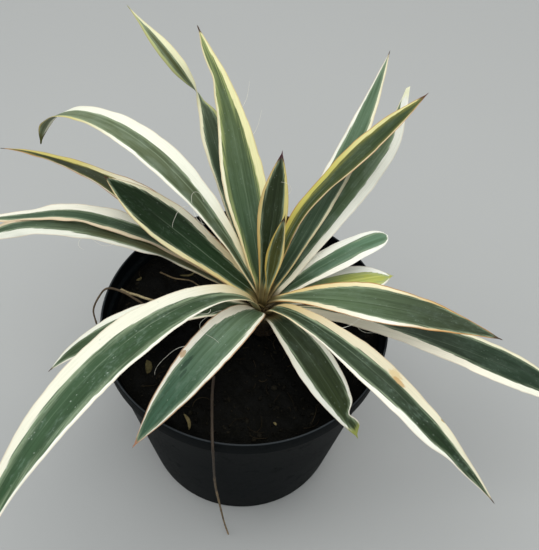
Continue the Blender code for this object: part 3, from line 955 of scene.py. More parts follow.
LEAVES: tuple[Leaf, ...] = (
    Leaf("leaf_back_kinked", 5, -26, 37, 0.204, 0.0165, sweep=-1, droop=3, neck=0.75, foot=-23.5,
         kinks=(Kink(0.66, 0.12, turn=-27, twist=-100), Kink(0.8, 0.26, turn=-4, twist=-80)),
         bulges=(Bulge(0.695, 0.045, left=-0.0022, right=-0.0022), Bulge(0.6, 0.055, left=-0.003),
             Bulge(0.64, 0.034, left=-0.0008, right=-0.0045), Bulge(0.87, 0.07, left=0.0017, right=0.0013)),
         finish=BladeFinish(left=(1.4, 1.6, 1.6, 1.5, 2.8, 4.8, 4.6, 3.4), right=(1.0, 1.2, 1.4, 1.6, 2.6, 2.8, 2.0),
             left_color=CREAM, right_color=LIME, left_outer=(0.78, 0.77, 0.5), inner=(0.05, 0.09, 0.072),
             outer=(0.06, 0.085, 0.05), tip_reach=3.0, tip=(0.32, 0.33, 0.14))),
    Leaf("leaf_back_upright", 8, -20, 50, 0.17, 0.028, droop=20, neck=0.52, peak=0.4, taper=1.4,
         kinks=(Kink(0.72, 0.4, turn=-11),),
         bulges=(Bulge(0.68, 0.15, left=-0.0018), Bulge(0.8, 0.04, left=-0.0014), Bulge(0.91, 0.05, left=0.001)),
         finish=BladeFinish(left=(1.6, 2.2, 2.4, 2.0, 1.6), right=(2.4, 4.2, 5.2, 5.4, 4.0), left_color=CREAM,
             right_color=(0.8, 0.77, 0.42), half=(0.36, 0.42, 0.15), soft=3.4, inner=(0.055, 0.105, 0.065),
             outer=(0.075, 0.12, 0.05), tip_reach=5.0, rust=0.35, left_outer=(0.74, 0.72, 0.44))),
    Leaf("leaf_heart_spear", 9, 10, 64, 0.092, 0.021, droop=-4, neck=0.35, peak=0.62, fold=(42, 32), foot=-60,
         finish=BladeFinish(left=(1.2, 2.2, 2.2, 1.4), right=(1.4, 3.4, 3.4, 1.8), left_color=(0.74, 0.6, 0.26),
             right_color=(0.74, 0.66, 0.25), inner=NIGHT, outer=NIGHT, tip_reach=8.0, tip=(0.07, 0.02, 0.03),
             bloom=0.0, rust=0.4)),
    Leaf("leaf_heart_bud", 9, 24, 72, 0.058, 0.013, neck=0.4, fold=(50, 30), foot=125,
         finish=BladeFinish(left=(0.8, 1.5, 1.0), right=(1.0, 2.0, 1.2), left_color=(0.6, 0.52, 0.16),
             right_color=(0.78, 0.7, 0.36), inner=(0.12, 0.125, 0.025), outer=(0.05, 0.06, 0.018), tip_reach=7.0,
             bloom=0.0)),
    Leaf("leaf_back_folded", 7.7, 23, 44.5, 0.162, 0.02, sweep=-8, droop=23, roll=(20, 10), neck=0.42, peak=0.66,
         fold=(35, 20), foot=25, kinks=(Kink(0.3, 0.36, turn=34),),
         bulges=(Bulge(0.42, 0.13, left=-0.0008, right=-0.0014),),
         finish=BladeFinish(left=(3.4, 4.4, 4.0, 3.2, 2.2), right=(1.2, 1.7, 1.6, 1.2), left_color=(0.54, 0.5, 0.12),
             left_outer=(0.7, 0.66, 0.3), right_color=(0.8, 0.68, 0.44), half=(0.19, 0.19, 0.035), soft=3.2,
             inner=(0.05, 0.075, 0.025), outer=(0.035, 0.062, 0.026), tip_reach=9.0, tip=(0.1, 0.04, 0.02),
             rust=0.75)),
    Leaf("leaf_back_right", 6.8, 36, 33, 0.179, 0.022, sweep=-19, foot=34, droop=6, roll=(20, 30),
         finish=BladeFinish(left=(2.0, 2.8, 2.8, 2.2), right=(1.6, 2.6, 2.8, 2.6), right_color=CREAM,
             inner=(0.055, 0.105, 0.07), outer=(0.105, 0.185, 0.13), tip_reach=4.0, rust=0.35)),
    Leaf("leaf_right_curled", 5.5, 38, 25, 0.187, 0.022, sweep=-1, droop=4, taper=1.5, end=0.93,
         kinks=(Kink(0.72, 0.2, turn=-23, twist=44),), ending=BladeEnd.BROKEN, fold=(14, 4),
         bulges=(Bulge(0.92, 0.06, left=-0.0006, right=-0.0004),),
         finish=BladeFinish(left=(1.8, 2.4, 1.8, 1.2), right=(4.0, 5.6, 6.2, 7.0, 12.0), left_color=CREAM,
             right_color=(0.97, 0.98, 0.88), inner=(0.07, 0.125, 0.08), outer=(0.12, 0.18, 0.115),
             tip=(0.88, 0.88, 0.62), tip_reach=14.0, specks=0.6, bloom=0.2, warmth=0.45)),
    Leaf("leaf_right_blunt", 4, 55, 22, 0.102, 0.021, sweep=9, droop=21, taper=2.2, end=0.86, ending=BladeEnd.ROUNDED,
         finish=BladeFinish(left=(3.0, 5.4, 5.6, 4.2, 1.4), right=(2.4, 3.2, 4.2, 4.6, 1.2), left_color=SNOW,
             right_color=SNOW, warmth=0.35, inner=(0.06, 0.125, 0.085), outer=(0.115, 0.225, 0.165), tip_reach=3.4,
             tip=(0.88, 0.9, 0.8), rust=0.1, bloom=0.12)),
    Leaf("leaf_right_small", 1.5, 67, 11, 0.083, 0.027, sweep=4, droop=20, neck=0.4, taper=3.0, fold=(12, 4),
         finish=BladeFinish(left=(3.0, 6.0, 6.5, 4.0), right=(2.0, 3.0, 2.0), left_color=SNOW, warmth=0.3,
             inner=(0.32, 0.47, 0.36), outer=(0.56, 0.62, 0.17), tip=(0.42, 0.44, 0.08), tip_reach=5.0, bloom=0.2,
             soft=3.0)),
    Leaf("leaf_right_broad", 6, 98, 37, 0.147, 0.03, droop=54, late=0.5, neck=0.27, peak=0.42,
         finish=BladeFinish(left=(3.0, 4.0, 3.6, 2.6, 1.4, 0.9), right=(3.4, 5.4, 4.4, 2.6, 1.3, 0.8),
             left_color=(0.86, 0.79, 0.52), left_outer=(0.62, 0.42, 0.16), right_outer=(0.66, 0.45, 0.2),
             inner=(0.1, 0.165, 0.098), outer=(0.026, 0.046, 0.02), tip_reach=9.0, rust=0.9)),
    Leaf("leaf_right_low", 1, 96, 27, 0.24, 0.0295, droop=60, late=0.42, neck=0.25, peak=0.65, fold=(8, 2),
         finish=BladeFinish(left=(1.6, 2.4, 2.6, 2.6, 2.2), right=(12.0, 12.0, 8.0, 5.4, 5.0, 4.6), left_color=CREAM,
             right_color=(1.0, 0.95, 0.78), right_outer=(0.94, 0.94, 0.8), warmth=0.2, inner=(0.024, 0.046, 0.024),
             outer=(0.012, 0.034, 0.018), tip_reach=9.0, soft=2.6, foot=(0.58, 0.46, 0.28), foot_reach=16.0)),
    Leaf("leaf_front_right_long", 3.5, 137, 68, 0.191, 0.0215, sweep=-13, droop=108, late=0.5, neck=0.5,
         bulges=(Bulge(0.68, 0.08, right=0.0026), Bulge(0.8, 0.04, right=-0.0008)), wave=(0.4, 0.6, 60.0),
         finish=BladeFinish(left=(3.2, 5.6, 6.0, 5.4, 4.6, 3.0), right=(1.4, 1.6, 1.6, 2.6, 5.0, 1.0, 0.8),
             left_color=BEIGE, left_outer=(0.8, 0.77, 0.58), inner=(0.03, 0.055, 0.03), outer=(0.011, 0.031, 0.011),
             specks=0.7, tip_reach=5.0,
             stains=(Stain(101, -7.2, 5.0, 2.8, (0.62, 0.47, 0.22), 0.7),
                 Stain(105, -5.6, 4.6, 1.3, (0.5, 0.31, 0.12), 0.8),
                 Stain(137, -8.2, 1.6, 1.0, (0.34, 0.26, 0.09), 0.8)))),
    Leaf("leaf_front_right_short", 1, 142, 40, 0.097, 0.026, droop=75, late=0.5, taper=2.0,
         bulges=(Bulge(0.85, 0.035, left=-0.0042), Bulge(0.94, 0.03, left=0.0022)),
         finish=BladeFinish(left=(2.0, 2.6, 3.0, 2.6, 0.6), right=(2.6, 3.6, 4.2, 3.6, 2.6),
             right_color=(0.84, 0.85, 0.76), warmth=0.3, inner=(0.024, 0.042, 0.021), outer=(0.022, 0.04, 0.011),
             tip=(0.26, 0.29, 0.07), tip_reach=11.0, soft=2.4)),
    Leaf("leaf_front_left_short", 2.7, -153, 83, 0.129, 0.027, sweep=15, droop=124, late=0.45, neck=0.6, peak=0.35,
         taper=2.2, fold=(12, 4),
         finish=BladeFinish(left=(2.4, 3.0, 2.8, 2.0, 1.4), right=(7.5, 7.0, 4.4, 3.0, 2.2, 1.2),
             right_color=(1.0, 0.96, 0.84), warmth=0.2, inner=(0.14, 0.225, 0.165), outer=(0.045, 0.115, 0.08),
             specks=1.0, tip=(0.4, 0.2, 0.12), rust=0.8,
             stains=(Stain(70, 10.6, 2.8, 1.7, (0.56, 0.36, 0.18), 0.8),
                 Stain(73, 5.2, 6.0, 1.3, (0.026, 0.058, 0.036), 0.85),
                 Stain(79, 2.6, 3.6, 1.0, (0.03, 0.065, 0.04), 0.75)))),
    Leaf("leaf_front_left_long", 3.9, -131, 79, 0.258, 0.027, sweep=-26, droop=120, late=0.6, neck=0.46,
         wave=(0.35, 0.4, 70.0),
         finish=BladeFinish(left=(1.6, 1.7, 1.8, 2.0, 1.8), right=(7.0, 8.0, 7.4, 6.2, 4.6, 3.0),
             right_color=(0.82, 0.81, 0.67), inner=(0.034, 0.07, 0.036), outer=(0.03, 0.08, 0.037), specks=1.0,
             foot_reach=24.0, foot=(0.48, 0.37, 0.16), rib=0.4, soft=4.0)),
    Leaf("leaf_left_small", 1, -104, 31, 0.15, 0.022, sweep=-2, droop=82, late=0.8, fold=(14, 4),
         finish=BladeFinish(left=(1.4, 2.0, 2.0, 1.4), right=(3.0, 4.4, 4.4, 3.2), right_color=(0.86, 0.87, 0.75),
             warmth=0.5, inner=(0.026, 0.048, 0.026), outer=(0.042, 0.08, 0.036), rust=0.3)),
    Leaf("leaf_left_upper", 3.2, -62, 22.5, 0.225, 0.018, sweep=-22, droop=57, late=1.2, wave=(0.7, 0.6, 48.0),
         fold=(14, 4), kinks=(Kink(0.6, 0.2, tilt=8), Kink(0.8, 0.2, tilt=-14)),
         bulges=(Bulge(0.86, 0.14, left=0.0016),),
         finish=BladeFinish(left=(1.4, 2.6, 2.6, 1.8), right=(2.0, 5.0, 7.0, 6.0, 4.4), left_color=(0.8, 0.68, 0.48),
             right_color=(0.92, 0.9, 0.77), warmth=0.7, inner=(0.03, 0.052, 0.03), outer=(0.055, 0.108, 0.07),
             rust=0.35)),
    Leaf("leaf_left_lower", 2, -66, 19, 0.222, 0.015, sweep=-20, droop=60, late=1.4, roll=(-10, 35),
         wave=(1.0, 0.6, 46.0), bulges=(Bulge(0.86, 0.12, left=0.0022, right=0.0026),),
         finish=BladeFinish(left=(1.8, 1.8, 2.2, 3.8, 6.2, 5.5), right=(1.4, 2.4, 2.4, 1.6),
             left_color=(0.85, 0.86, 0.75), right_color=(0.72, 0.6, 0.42), inner=(0.15, 0.145, 0.08),
             outer=(0.055, 0.1, 0.064), rust=0.3)),
    Leaf("leaf_left_twisted", 4.3, -56, 29, 0.209, 0.0235, sweep=-17, droop=44, late=1.3, peak=0.38, taper=1.5,
         fold=(12, 3), kinks=(Kink(0.56, 0.2, twist=-18),),
         finish=BladeFinish(left=(1.0, 1.2, 1.2, 0.8), right=(4.0, 5.2, 5.2, 5.6, 7.0, 2.4),
             right_color=(0.98, 0.93, 0.76), right_outer=(0.66, 0.58, 0.18), half=(0.36, 0.32, 0.06),
             inner=(0.045, 0.07, 0.04), outer=(0.032, 0.04, 0.016), tip_reach=6.0, rust=0.9, soft=1.6)),
    Leaf("leaf_left_broad", 5.8, -66, 29, 0.12, 0.03, sweep=-2, droop=3, neck=0.52, peak=0.6, taper=2.0,
         fold=(18, 4), bulges=(Bulge(0.55, 0.35, right=0.0016),),
         finish=BladeFinish(left=(2.8, 3.8, 3.4, 2.4, 1.2), right=(3.4, 4.6, 5.0, 4.6, 3.6, 1.2),
             left_color=(0.82, 0.77, 0.46), right_color=(0.99, 0.95, 0.78), right_outer=(0.93, 0.88, 0.64),
             inner=(0.024, 0.062, 0.028), outer=(0.005, 0.021, 0.004), tip_reach=4.0, rust=0.5, bloom=0.0, rib=0.45)),
    Leaf("leaf_left_arching", 6.8, -54, 54, 0.24, 0.026, sweep=-8, droop=129, late=1.68, roll=(-12, 0), neck=0.38,
         peak=0.45, taper=1.3, kinks=(Kink(0.85, 0.22, twist=-38),),
         bulges=(Bulge(0.92, 0.06, left=0.0013, right=0.0013),),
         finish=BladeFinish(left=(1.8, 2.4, 2.6, 2.2, 1.4), right=(5.0, 7.0, 8.2, 8.0, 6.4, 3.4),
             right_color=(0.84, 0.85, 0.72), left_outer=(0.62, 0.58, 0.24), inner=(0.055, 0.082, 0.044),
             outer=(0.155, 0.205, 0.135), bloom=0.15, rib=0.45, tip=(0.115, 0.12, 0.035), tip_reach=18.0)),
)


@dataclass
class Blade:
    """One leaf of the rosette, as a closed skin whose thickness thins towards its margins.

    The fields are what all blades share. Those that end in _mm are in millimetres.
    """

    leaf: Leaf
    seed: int
    columns: int = 27
    fewest_rows: int = 60
    spacing: float = 0.0013
    thickness: float = 0.00085
    foot_thickness: float = 0.0024
    margin_thickness: float = 0.3
    tip_thickness: float = 0.45
    thickens_mm: float = 22.0
    tip_thins: float = 0.02
    foot_reach: float = 0.018
    foot_share: float = 0.72
    keel: float = 0.2
    fold_settles: float = 0.6
    least_taper: float = 0.03
    least_half: float = 0.0002
    rounding: float = 0.008
    roundness: float = 2.2
    ripples: tuple[Pair, ...] = ((0.02, 0.011), (0.012, 0.004))
    calm_foot_mm: float = 40.0
    calm_tip_mm: float = 25.0
    wave_starts: Pair = (0.7, 2.9)
    tear: float = 0.0012
    spine: float = 0.0016
    stub: float = 0.0003
    heels: tuple[Pair, ...] = ((0.0085, 0.85), (0.0035, 1.0))

    def along(self) -> Array:
        """Shares of the length at which the rings lie."""
        rows = max(self.fewest_rows, round(self.leaf.end * self.leaf.length / self.spacing))
        return np.linspace(0.0, self.leaf.end, rows + 1)

    def course(self, along: Array) -> tuple[Array, Array, Array, Array]:
        """The leaf's middle line and its frame.

        The direction turns evenly by the sweep and falls from the rise by the droop, and each kink adds a
        smooth step. The middle line is the running sum of the directions from the foot.

        Args:
            along: Shares of the length.

        Returns:
            Places, sideways directions, upward directions and forward directions.
        """
        leaf = self.leaf
        heading = leaf.heading + leaf.sweep * along
        pitch = leaf.rise - leaf.droop * along**leaf.late
        roll = leaf.roll[0] + (leaf.roll[1] - leaf.roll[0]) * ease(along)
        for kink in leaf.kinks:
            step = ease((along - kink.place) / kink.span + 0.5)
            heading, pitch, roll = heading + kink.turn * step, pitch - kink.tilt * step, roll + kink.twist * step
        heading, pitch, roll = (np.radians(angle)[:, None] for angle in (heading, pitch, roll))
        level = np.hstack([np.sin(heading), np.cos(heading), np.zeros_like(heading)])
        forward = level * np.cos(pitch) + np.array([0.0, 0.0, 1.0]) * np.sin(pitch)
        side = np.hstack([np.cos(heading), -np.sin(heading), np.zeros_like(heading)])
        up = np.cross(side, forward)
        rolled_side, rolled_up = side * np.cos(roll) + up * np.sin(roll), up * np.cos(roll) - side * np.sin(roll)
        steps = (forward[1:] + forward[:-1]) / 2 * (leaf.length * np.diff(along))[:, None]
        line = Crown.foot(leaf) + np.vstack([np.zeros(3), np.cumsum(steps, axis=0)])
        return line, rolled_side, rolled_up, forward

    def halves(self, along: Array) -> tuple[Array, Array]:
        """Half widths on the left and right: a slim foot, a neck, the widest place and a taper, with bulges.

        Args:
            along: Shares of the length.

        Returns:
            The left and the right half width.
        """
        leaf = self.leaf
        swell = leaf.neck + (1 - leaf.neck) * ease(along / leaf.peak)
        taper = 1 - np.clip((along - leaf.peak) / (1 - leaf.peak), 0.0, 1.0) ** leaf.taper
        foot = self.foot_share + (1 - self.foot_share) * ease(along * leaf.length / self.foot_reach)
        half = 0.5 * leaf.width * swell * np.maximum(taper, self.least_taper) * foot
        if leaf.ending is BladeEnd.ROUNDED:
            past = np.clip(1 - (leaf.end - along) * leaf.length / self.rounding, 0.0, 1.0)
            half = half * np.sqrt(np.maximum(1 - past**self.roundness, 0.004))
        run = along * leaf.length
        (large, large_cell), (small, small_cell) = self.ripples
        both = []
        for offset, name in ((11.0, "left"), (37.0, "right")):
            bumps = sum(
                (getattr(bulge, name) * np.exp(-(((along - bulge.place) / bulge.span) ** 2)) for bulge in leaf.bulges),
                np.zeros_like(along),
            )
            ripple = 1 + large * lumps(run, offset + self.seed, large_cell, 5)
            ripple = ripple + small * lumps(run, offset, small_cell, self.seed)
            both.append(half * ripple + bumps)
        return np.maximum(both[0], self.least_half), np.maximum(both[1], self.least_half)

    def waves(self, q: Array, run: Array) -> Array:
        """How far the margins wave off the blade: two sines along it, times the share out cubed.

        Args:
            q: Shares out, from -1 at the left margin to 1 at the right one.
            run: The way along the blade, in millimetres.

        Returns:
            Heights in metres, which fade out at the foot and the tip.
        """
        leaf = self.leaf
        calm = ease(run / self.calm_foot_mm) * ease((leaf.end * leaf.length * MM - run) / self.calm_tip_mm)
        amount = np.where(q < 0, leaf.wave[0], leaf.wave[1]) / MM
        phase = run / leaf.wave[2] * math.tau + np.where(q < 0, *self.wave_starts) + self.seed
        return calm * amount * np.abs(q) ** 3 * (np.sin(phase) + 0.5 * np.sin(1.9 * phase + 1.0))

    def body(self, q: Array, along: Array) -> Array:
        """The thickness: stout at the foot, thin at the tip, and less from the middle out to nought at the margins.

        Args:
            q: Shares out.
            along: Shares of the length, one row each.

        Returns:
            Thicknesses in metres.
        """
        leaf = self.leaf
        stout = 1 - ease(along * leaf.length * MM / self.thickens_mm)
        thick = self.thickness + (self.foot_thickness - self.thickness) * stout
        thick = thick * np.clip((leaf.end - along) * leaf.length / self.tip_thins, self.tip_thickness, 1.0)
        middle = self.margin_thickness + (1 - self.margin_thickness) * (1 - q**2)
        return thick * middle * np.sqrt(np.maximum(1 - np.abs(q) ** 10, 0.0))

    def marks(self, along: Array, out: Array, lower: Array,
              halves: tuple[Array, Array]) -> dict[str, Array]:
        """What the finish reads at each point, in millimetres.

        blade_place holds the places across and along, and 1 above or -1 below. blade_edges holds how far it is
        to the left margin, the right one and the tip. blade_widths holds the widths of the two pale margins,
        less where the blade is narrow, and the share of the length.

        Args:
            along: Shares of the length.
            out: Places across, in metres.
            lower: Whether a place on a ring is on the lower side.
            halves: The left and the right half width, in metres.

        Returns:
            The marks by name.
        """
        leaf = self.leaf
        left, right = halves[0][:, None], halves[1][:, None]
        run = (along * leaf.length * MM)[:, None]
        pale = [
            np.interp(along / leaf.end, np.linspace(0.0, 1.0, len(widths)), widths)
            * np.clip(half / (0.5 * leaf.width), 0, 1) ** 0.5
            for widths, half in zip((leaf.finish.left, leaf.finish.right), halves)
        ]
        rows = {
            "blade_place": (out * MM, run, np.where(lower, -1.0, 1.0)),
            "blade_edges": ((out + left) * MM, (right - out) * MM, leaf.end * leaf.length * MM - run),
            "blade_widths": (pale[0][:, None], pale[1][:, None], run / (leaf.length * MM)),
        }
        return {
            name: np.stack([np.broadcast_to(values, out.shape) for values in row], -1) for name, row in rows.items()
        }

    def skin(self) -> tuple[Array, dict[str, Array], int, int]:
        """The rings of points round the blade, and the marks that its finish reads.

        A ring's upper side runs from the left margin to the right one at shares q = sin of an even angle.
        Its height over the middle line is the half width times the keeled root of q squared times the
        sine of the fold, plus the waves. The lower side runs back, lower by the thickness, which closes at
        both margins. Two more rings run back into the crown, and a point closes each end.

        Returns:
            The points, the marks, the number of rings and the points on a ring.
        """
        leaf, along = self.leaf, self.along()
        line, side, up, forward = self.course(along)
        left, right = self.halves(along)
        q = np.sin(np.linspace(-math.pi / 2, math.pi / 2, self.columns))
        q = np.concatenate([q, q[-2:0:-1]])[None, :]
        lower = np.concatenate([np.zeros(self.columns, bool), np.ones(self.columns - 2, bool)])[None, :]
        half = np.where(q < 0, left[:, None], right[:, None])
        fold = np.radians(leaf.fold[0] + (leaf.fold[1] - leaf.fold[0]) * ease(along / self.fold_settles))[:, None]
        out = half * q
        lift = half * (np.sqrt(q**2 + self.keel**2) - self.keel) * np.sin(fold)
        lift = lift + self.waves(q, (along * leaf.length * MM)[:, None])
        lift = lift + np.where(lower, -0.5, 0.5) * self.body(q, along[:, None])
        points = line[:, None] + (out * np.cos(fold))[..., None] * side[:, None] + lift[..., None] * up[:, None]
        if leaf.ending is BladeEnd.BROKEN:
            tear = lumps(q * 0.01, self.seed, 0.0016, 8) * self.tear
            points[-1] += tear[0][:, None] * forward[-1]
        back, size = np.array(self.heels).T[:, :, None, None]
        heels = line[0] + (points[:1] - line[0]) * size - forward[0] * back
        points = np.concatenate([heels, points])
        reach = self.spine if leaf.ending is BladeEnd.POINTED else self.stub
        poles = np.vstack([points[0].mean(0), line[-1] + forward[-1] * reach])
        marks = {}
        for name, values in self.marks(along, out, lower, (left, right)).items():
            values = np.concatenate([values[:1], values[:1], values])
            marks[name] = np.vstack([values.reshape(-1, 3), values[0].mean(0), values[-1].mean(0)])
        return np.vstack([points.reshape(-1, 3), poles]), marks, *points.shape[:2]

    def build(self, effects: Effects) -> None:
        """Builds and dresses the blade.

        Args:
            effects: The shared node groups.
        """
        points, marks, rings, around = self.skin()
        piece = make_piece(
            self.leaf.name + "_blade", points, ring_faces(rings, around), end_fans(rings, around), marks)
        material = self.leaf.finish.material(self.leaf.name + "_finish", effects, self.seed)
        dress(piece, material, "leaf", self.leaf.name)


@dataclass(frozen=True)
class Thread:
    """A curly white fibre that peels off a leaf's margin. Its length and curl radius are in millimetres."""

    leaf: str
    place: float
    side: int
    length: float
    curl: float
    turn: float = 1.0
    lift: float = 1.5


THREADS: tuple[Thread, ...] = (
    Thread("leaf_left_arching", 0.24, -1, 34, 9),
    Thread("leaf_left_arching", 0.3, -1, 22, 13, -1.0),
    Thread("leaf_left_arching", 0.2, -1, 20, 12),
    Thread("leaf_left_broad", 0.3, 1, 15, 20),
    Thread("leaf_back_upright", 0.56, 1, 17, 26, 1.0, 2.0),
    Thread("leaf_back_upright", 0.67, 1, 17, 24, 1.0, 2.0),
    Thread("leaf_heart_spear", 0.74, 1, 12, 5),
    Thread("leaf_front_left_short", 0.22, 1, 40, 15, 1.0, -4.0),
    Thread("leaf_front_left_short", 0.5, 1, 26, 17, 1.0, -3.0),
    Thread("leaf_right_low", 0.22, 1, 20, 9, 1.0, -3.0),
    Thread("leaf_front_right_long", 0.3, -1, 14, 20, -1.0, 1.0),
    Thread("leaf_left_lower", 0.45, -1, 20, 10, 1.0, -2.0),
    Thread("leaf_left_lower", 0.55, -1, 12, 6, -1.0, 1.0),
    Thread("leaf_front_left_long", 0.25, -1, 18, 7, 1.0, -2.0),
)


@dataclass(frozen=True)
class FibreFinish:
    """Dry white fibre, a little darker and duller in places."""

    dark: Color = (0.62, 0.6, 0.5)
    pale: Color = (0.82, 0.81, 0.72)
    specular: float = 0.4

    def material(self) -> Material:
        """Makes the fibres' material.

        Returns:
            The material.
        """
        finish = Finish("margin_fibres_finish", self.specular)
        streak = finish.net.noise(finish.net.place(), 900.0)
        finish.set("Base Color", finish.net.blend(streak, self.dark, self.pale))
        finish.set("Roughness", finish.net.step(streak, 0.2, 0.8, 0.45, 0.65))
        return finish.material


@dataclass
class Rosette:
    """The whole fan of leaves with the fibres that peel off them."""

    leaves: tuple[Leaf, ...] = LEAVES
    threads: tuple[Thread, ...] = THREADS
    thread_radius: float = 0.00013
    thread_steps: int = 28
    thread_sides: int = 6
    thread_thins: float = 0.45
    root_out: float = 0.96
    root_lift: float = 0.8
    first_angle: float = 0.9
    waver: float = 0.25
    waver_mm: float = 4.0

    def build(self, effects: Effects) -> None:
        """Builds every blade, then the fibres.

        Args:
            effects: The shared node groups.
        """
        for number, leaf in enumerate(self.leaves):
            Blade(leaf, number).build(effects)
        self.build_threads()

    def route(self, thread: Thread) -> Array:
        """A fibre's route: the running sum of directions that turn by its curl, plus the run squared as lift.

        Args:
            thread: The fibre.

        Returns:
            Places, one row each.
        """
        leaf = next(leaf for leaf in self.leaves if leaf.name == thread.leaf)
        blade = Blade(leaf, 0)
        along = blade.along()
        line, side, up, forward = blade.course(along)
        here = int(np.searchsorted(along, thread.place * leaf.end))
        reach = blade.halves(along)[0 if thread.side < 0 else 1][here] * thread.side
        fold = math.radians(leaf.fold[1])
        start = line[here] + side[here] * reach * self.root_out * math.cos(fold)
        start = start + up[here] * abs(reach) * math.sin(fold) * self.root_lift
        run = np.linspace(0.0, thread.length, self.thread_steps)
        curl = run / thread.curl * (1 + self.waver * np.sin(run / self.waver_mm))
        angle = self.first_angle - thread.turn * curl
        outward = side[here] * thread.side
        ways = np.cos(angle)[:, None] * forward[here] + np.sin(angle)[:, None] * outward
        steps = ways[1:] * (thread.length / (self.thread_steps - 1) / MM)
        route = start + np.vstack([np.zeros(3), np.cumsum(steps, axis=0)])
        return route + up[here] * (thread.lift * (run / thread.length)[:, None] ** 2 / MM)

    def build_threads(self) -> None:
        """Builds all the fibres as one piece of thin tubes that taper to their free ends."""
        routes = np.stack([self.route(thread) for thread in self.threads])
        thin = np.linspace(1.0, self.thread_thins, self.thread_steps)[None, :]
        radii = np.broadcast_to(self.thread_radius * thin, routes.shape[:2])
        piece = make_piece("margin_fibres", *tubes(routes, radii, self.thread_sides))
        dress(piece, FibreFinish().material(), "leaf")


# Crown


@dataclass(frozen=True)
class StemFinish:
    """Brown fibrous stem, darkened by painted shade from below the leaves on down to the soil."""

    name: str = "crown_finish"
    dark: Color = (0.03, 0.019, 0.008)
    pale: Color = (0.16, 0.115, 0.045)
    # Painted shade under the leaves: a factor on the colour that fades in from the first height below down to the
    # second.
    buried: Color = (0.22, 0.2, 0.18)
    shade_from: float = 0.16
    full_shade_at: float = 0.152
    specular: float = 0.3

    def material(self) -> Material:
        """Makes the stem's material.

        Returns:
            The material.
        """
        finish = Finish(self.name, self.specular)
        net, place = finish.net, finish.net.place()
        x, y, z = net.split(place)
        fibre = net.noise(net.join(x, y, net.times(z, 0.25)), 1500.0)
        cloud = net.noise(place, 240.0)
        color = net.blend(net.step(fibre, 0.38, 0.66), self.dark, self.pale)
        color = net.blend(net.times(net.step(cloud, 0.45, 0.7), 0.5), color, self.dark)
        # Painted shade: the stem darkens downwards under the leaves.
        color = net.blend(net.step(z, self.shade_from, self.full_shade_at), color, net.tinted(color, self.buried))
        return finish.feed(color, net.step(fibre, 0.3, 0.7, 0.7, 0.92), net.bump(fibre, 0.8, 0.0004))


